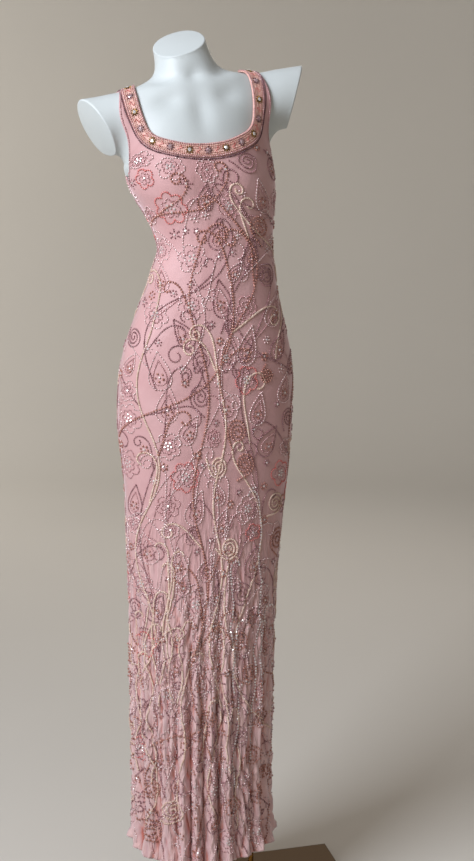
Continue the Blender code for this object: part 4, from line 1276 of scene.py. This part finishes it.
# Painted shade and sheen: the ramp darkens the cloth towards the fold and crinkle hollows and paints the fold ridges
# paler.
fold_shade_input = add_node(cloth_tree, "ShaderNodeAttribute", {"attribute_name": "fold_shade_amount"})
fold_shade_range = add_node(
    cloth_tree, "ShaderNodeMapRange",
    values={"From Min": -0.9, "From Max": 1.3, "To Min": 0.0, "To Max": 1.0},
    links={"Value": fold_shade_input.outputs["Fac"]},
)
fold_shaded_colour = add_node(cloth_tree, "ShaderNodeValToRGB", links={"Fac": fold_shade_range.outputs["Result"]})
fold_shaded_colour.color_ramp.elements[0].color = linear("D6B4B5")
fold_shaded_colour.color_ramp.elements[1].color = linear("8C382A")
fold_shaded_colour.color_ramp.elements.new(0.42).color = linear("CA9E9E")
fold_shaded_colour.color_ramp.elements.new(0.68).color = linear("C67668")
patchy = add_node(
    cloth_tree, "ShaderNodeTexNoise", values={"Scale": 14.0, "Detail": 2.0},
    links={"Vector": pattern_place.outputs["UV"]},
)
crinkled_share = add_node(cloth_tree, "ShaderNodeAttribute", {"attribute_name": "crinkled"})
crinkle_height = add_node(
    cloth_tree, "ShaderNodeMath", {"operation": "MULTIPLY"}, {},
    {0: crinkles.outputs["Fac"], 1: crinkled_share.outputs["Fac"]},
)
# Painted highlight: where the crinkle noise is high, on the crinkle ridges, the colour is mixed towards a pale pink.
crinkle_highlight_share = add_node(
    cloth_tree, "ShaderNodeMapRange",
    values={"From Min": 0.25, "From Max": 1.15, "To Min": 0.0, "To Max": 0.60},
    links={"Value": crinkle_height.outputs["Value"]},
)
crinkle_highlight = add_node(
    cloth_tree, "ShaderNodeMix", {"data_type": "RGBA"}, {"B": linear("E8C3BE")},
    {"Factor": crinkle_highlight_share.outputs["Result"], "A": fold_shaded_colour.outputs["Color"]},
)
mottled = add_node(
    cloth_tree, "ShaderNodeMix", {"data_type": "RGBA", "blend_type": "SOFT_LIGHT"}, {"Factor": 0.35},
    {"A": crinkle_highlight.outputs["Result"], "B": patchy.outputs["Fac"]},
)
cloth_tree.links.new(mottled.outputs["Result"], cloth_shader.inputs["Base Color"])
puckers = add_node(
    cloth_tree, "ShaderNodeTexNoise", values={"Scale": 1 / PUCKER, "Detail": 2.0, "Distortion": 0.4},
    links={"Vector": pattern_place.outputs["UV"]},
)
pucker_bump = add_node(
    cloth_tree, "ShaderNodeBump", values={"Strength": 0.55, "Distance": 0.0035}, links={"Height": puckers.outputs["Fac"]}
)
grain_bump = add_node(
    cloth_tree, "ShaderNodeBump", values={"Strength": 0.35, "Distance": 0.0002},
    links={"Height": grain.outputs["Fac"], "Normal": pucker_bump.outputs["Normal"]},
)
crinkle_bump = add_node(
    cloth_tree, "ShaderNodeBump", values={"Strength": 0.9, "Distance": 0.0026},
    links={"Height": crinkle_height.outputs["Value"], "Normal": grain_bump.outputs["Normal"]},
)
cloth_tree.links.new(crinkle_bump.outputs["Normal"], cloth_shader.inputs["Normal"])
for piece in (front, back):
    piece.data.materials.append(chiffon)

# %% [markdown]
# The neckband's chiffon is backed with stiff net and covered with seed beads, so the ground between the beads is a
# saturated salmon, pebbled by the smallest seeds, which are drawn by a cell pattern at their real 1.8 mm.

# %% Neckband cloth
SMALLEST_SEED = 0.0018
band_cloth, band_tree, band_shader = new_material("chiffon_stiffened_beaded", "D8A090", 0.5)
band_place = add_node(band_tree, "ShaderNodeUVMap", {"uv_map": "pattern"})
pebbles = add_node(
    band_tree, "ShaderNodeTexVoronoi", values={"Scale": 1 / SMALLEST_SEED}, links={"Vector": band_place.outputs["UV"]}
)
band_colour = add_node(band_tree, "ShaderNodeValToRGB", links={"Fac": pebbles.outputs["Distance"]})
band_colour.color_ramp.elements[0].color = linear("F0C6BA")
band_colour.color_ramp.elements[1].color = linear("CB958A")
band_tree.links.new(band_colour.outputs["Color"], band_shader.inputs["Base Color"])
pebble_bump = add_node(
    band_tree, "ShaderNodeBump", {"invert": True}, {"Strength": 0.7, "Distance": 0.0006},
    {"Height": pebbles.outputs["Distance"]},
)
band_tree.links.new(pebble_bump.outputs["Normal"], band_shader.inputs["Normal"])
for piece in (band_front, band_back):
    piece.data.materials.append(band_cloth)

# %% [markdown]
# Glass seed beads are drawn glass tube, tumbled smooth: clear or lined, with a bright small highlight. Lined beads
# have silver or colour in the hole, which reads as a metallic glow. Every kind varies a little from bead to bead,
# as one string does, by a noise whose grains are a bead's size.

# %% Glass, cord and gilt
BEAD_GLASS = {  # darker and lighter hex, roughness, metallic, coat, name of the real material
    "mauve_seeds": ("8C6065", "BE9094", 0.26, 0.22, 0.6, "glass_seed_mauve_lined"),
    "silver_bugles": ("CDA6A8", "F2DCDA", 0.24, 0.28, 0.8, "glass_bugle_silver_lined"),
    "cream_cord": ("D6B5A2", "ECD5C6", 0.50, 0.0, 0.1, "rayon_cord_cream"),
    "copper_seeds": ("985F53", "C58F80", 0.30, 0.22, 0.6, "glass_seed_copper_lined"),
    "coral_seeds": ("C8605F", "E69089", 0.30, 0.10, 0.6, "glass_seed_coral"),
    "rose_seeds": ("BA8487", "E6BFC0", 0.26, 0.22, 0.6, "glass_seed_rose_lined"),
    "peach_seeds": ("D29A8E", "F2CEC2", 0.30, 0.12, 0.6, "glass_seed_peach"),
    "crystals": ("CDB6BA", "FBF2EE", 0.16, 0.35, 1.0, "crystal_rainbow_coated"),
    "plum_seeds": ("54343C", "8A5F68", 0.26, 0.30, 0.7, "glass_seed_plum_lined"),
}


def glass_material(name, dark, light, roughness, metallic, coat, grain_size):
    material, tree, shader = new_material(name, light, roughness, Metallic=metallic, Coat_Weight=coat)
    shader.inputs["Coat Roughness"].default_value = 0.08
    spot = add_node(tree, "ShaderNodeTexCoord")
    change = add_node(
        tree, "ShaderNodeTexNoise", values={"Scale": 1 / grain_size, "Detail": 1.0},
        links={"Vector": spot.outputs["Object"]},
    )
    tone = add_node(tree, "ShaderNodeValToRGB", links={"Fac": change.outputs["Fac"]})
    tone.color_ramp.elements[0].position = 0.35
    tone.color_ramp.elements[0].color = linear(dark)
    tone.color_ramp.elements[1].position = 0.65
    tone.color_ramp.elements[1].color = linear(light)
    tree.links.new(tone.outputs["Color"], shader.inputs["Base Color"])
    return material, tree, shader


for kind, (dark, light, roughness, metallic, coat, name) in BEAD_GLASS.items():
    material, tree, shader = glass_material(name, dark, light, roughness, metallic, coat, 0.004)
    if kind == "crystals":
        shader.inputs["Thin Film Thickness"].default_value = 420.0
        shader.inputs["Thin Film IOR"].default_value = 1.6
    for piece in bead_pieces[kind]:
        piece.data.materials.append(material)
        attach(piece, "root")

clear_stone, _, _ = glass_material("crystal_clear_foiled", "DCD2D0", "FFFFFF", 0.06, 0.6, 1.0, 0.003)
oval_stone, _, _ = glass_material("crystal_rose_foiled", "A87E88", "EAD2D8", 0.06, 0.6, 1.0, 0.003)
gilt_metal, _, _ = glass_material("brass_cup_gilded", "5E4426", "B8924F", 0.25, 1.0, 0.0, 0.002)
for name, material in (
    ("clear", clear_stone), ("oval", oval_stone), ("cups", gilt_metal), ("petals", gilt_metal),
    ("mauve_petals", bead_pieces["plum_seeds"][0].data.materials[0]),
    ("coral", bead_pieces["coral_seeds"][0].data.materials[0]),
):
    piece = stone_pieces[name]
    piece.data.materials.append(material)
    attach(piece, "root")

# %% [markdown]
# The form is moulded polystyrene or glass fibre with a sprayed satin white coat: an even, slightly cool white with a
# soft highlight and the faint orange peel of a sprayed finish, about 1.5 mm from bump to bump. The pole is steel with a
# polished brass plating. The plate is steel too, bronzed and brushed along its length.

# %% Form, pole and plate
ORANGE_PEEL = 0.0015
form_coat, form_tree, form_shader = new_material("satin_white_sprayed", "D0D7DA", 0.50, Coat_Weight=0.06)
form_shader.inputs["Coat Roughness"].default_value = 0.30
form_place = add_node(form_tree, "ShaderNodeTexCoord")
peel = add_node(
    form_tree, "ShaderNodeTexNoise", values={"Scale": 1 / ORANGE_PEEL, "Detail": 1.0},
    links={"Vector": form_place.outputs["Object"]},
)
peel_bump = add_node(
    form_tree, "ShaderNodeBump", values={"Strength": 0.12, "Distance": 0.0002}, links={"Height": peel.outputs["Fac"]}
)
form_tree.links.new(peel_bump.outputs["Normal"], form_shader.inputs["Normal"])
handled = add_node(
    form_tree, "ShaderNodeTexNoise", values={"Scale": 7.0, "Detail": 3.0}, links={"Vector": form_place.outputs["Object"]}
)
form_tone = add_node(
    form_tree, "ShaderNodeMix", {"data_type": "RGBA"}, {"A": linear("C0C7C7"), "B": linear("CCD2D2")},
    {"Factor": handled.outputs["Fac"]},
)
form_tree.links.new(form_tone.outputs["Result"], form_shader.inputs["Base Color"])
form.data.materials.append(form_coat)
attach(form, "root")

gilt, gilt_tree, gilt_shader = new_material("steel_bronzed_brushed", "46341D", 0.36, Metallic=1.0)
gilt_place = add_node(gilt_tree, "ShaderNodeTexCoord")
brush_turn = add_node(
    gilt_tree, "ShaderNodeMapping", values={"Scale": (20.0, 900.0, 20.0)}, links={"Vector": gilt_place.outputs["Object"]}
)
brush = add_node(
    gilt_tree, "ShaderNodeTexNoise", values={"Scale": 1.0, "Detail": 2.0}, links={"Vector": brush_turn.outputs["Vector"]}
)
gilt_tone = add_node(
    gilt_tree, "ShaderNodeMix", {"data_type": "RGBA"}, {"A": linear("33240F"), "B": linear("47341C")},
    {"Factor": brush.outputs["Fac"]},
)
gilt_tree.links.new(gilt_tone.outputs["Result"], gilt_shader.inputs["Base Color"])
gilt_rough = add_node(
    gilt_tree, "ShaderNodeMapRange", values={"To Min": 0.24, "To Max": 0.40}, links={"Value": brush.outputs["Fac"]}
)
gilt_tree.links.new(gilt_rough.outputs["Result"], gilt_shader.inputs["Roughness"])
bright_gilt, _, _ = glass_material("steel_brass_plated_polished", "A87838", "D29A4E", 0.22, 1.0, 0.3, 0.006)
for node_name, material in (("form_pole", bright_gilt), ("form_base", gilt)):
    carried = nodes[node_name]
    if not carried.material_slots:
        carried.data.materials.append(material)
    for slot in carried.material_slots:
        slot.material = material

# %% [markdown]
# The table lists what each cloth piece was cut to, and each piece is attached to the root body. A panel is cut
# from its flat outline, with the cloth that the folds and crinkles take up. A half of the neckband is a bias strip,
# pressed to the curve of the neckline.

# %% Sheets
CUTS = (  # piece, slot, flat width and length, flat area
    (front, "chiffon", (0.56, 1.44), 0.535),
    (back, "chiffon", (0.58, 1.44), 0.555),
    (band_front, "beaded_band", (0.0240, 0.484), 0.0111),
    (band_back, "beaded_band", (0.0240, 0.450), 0.0103),
)
for piece, slot, flat_size, flat_area in CUTS:
    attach(piece, "root")
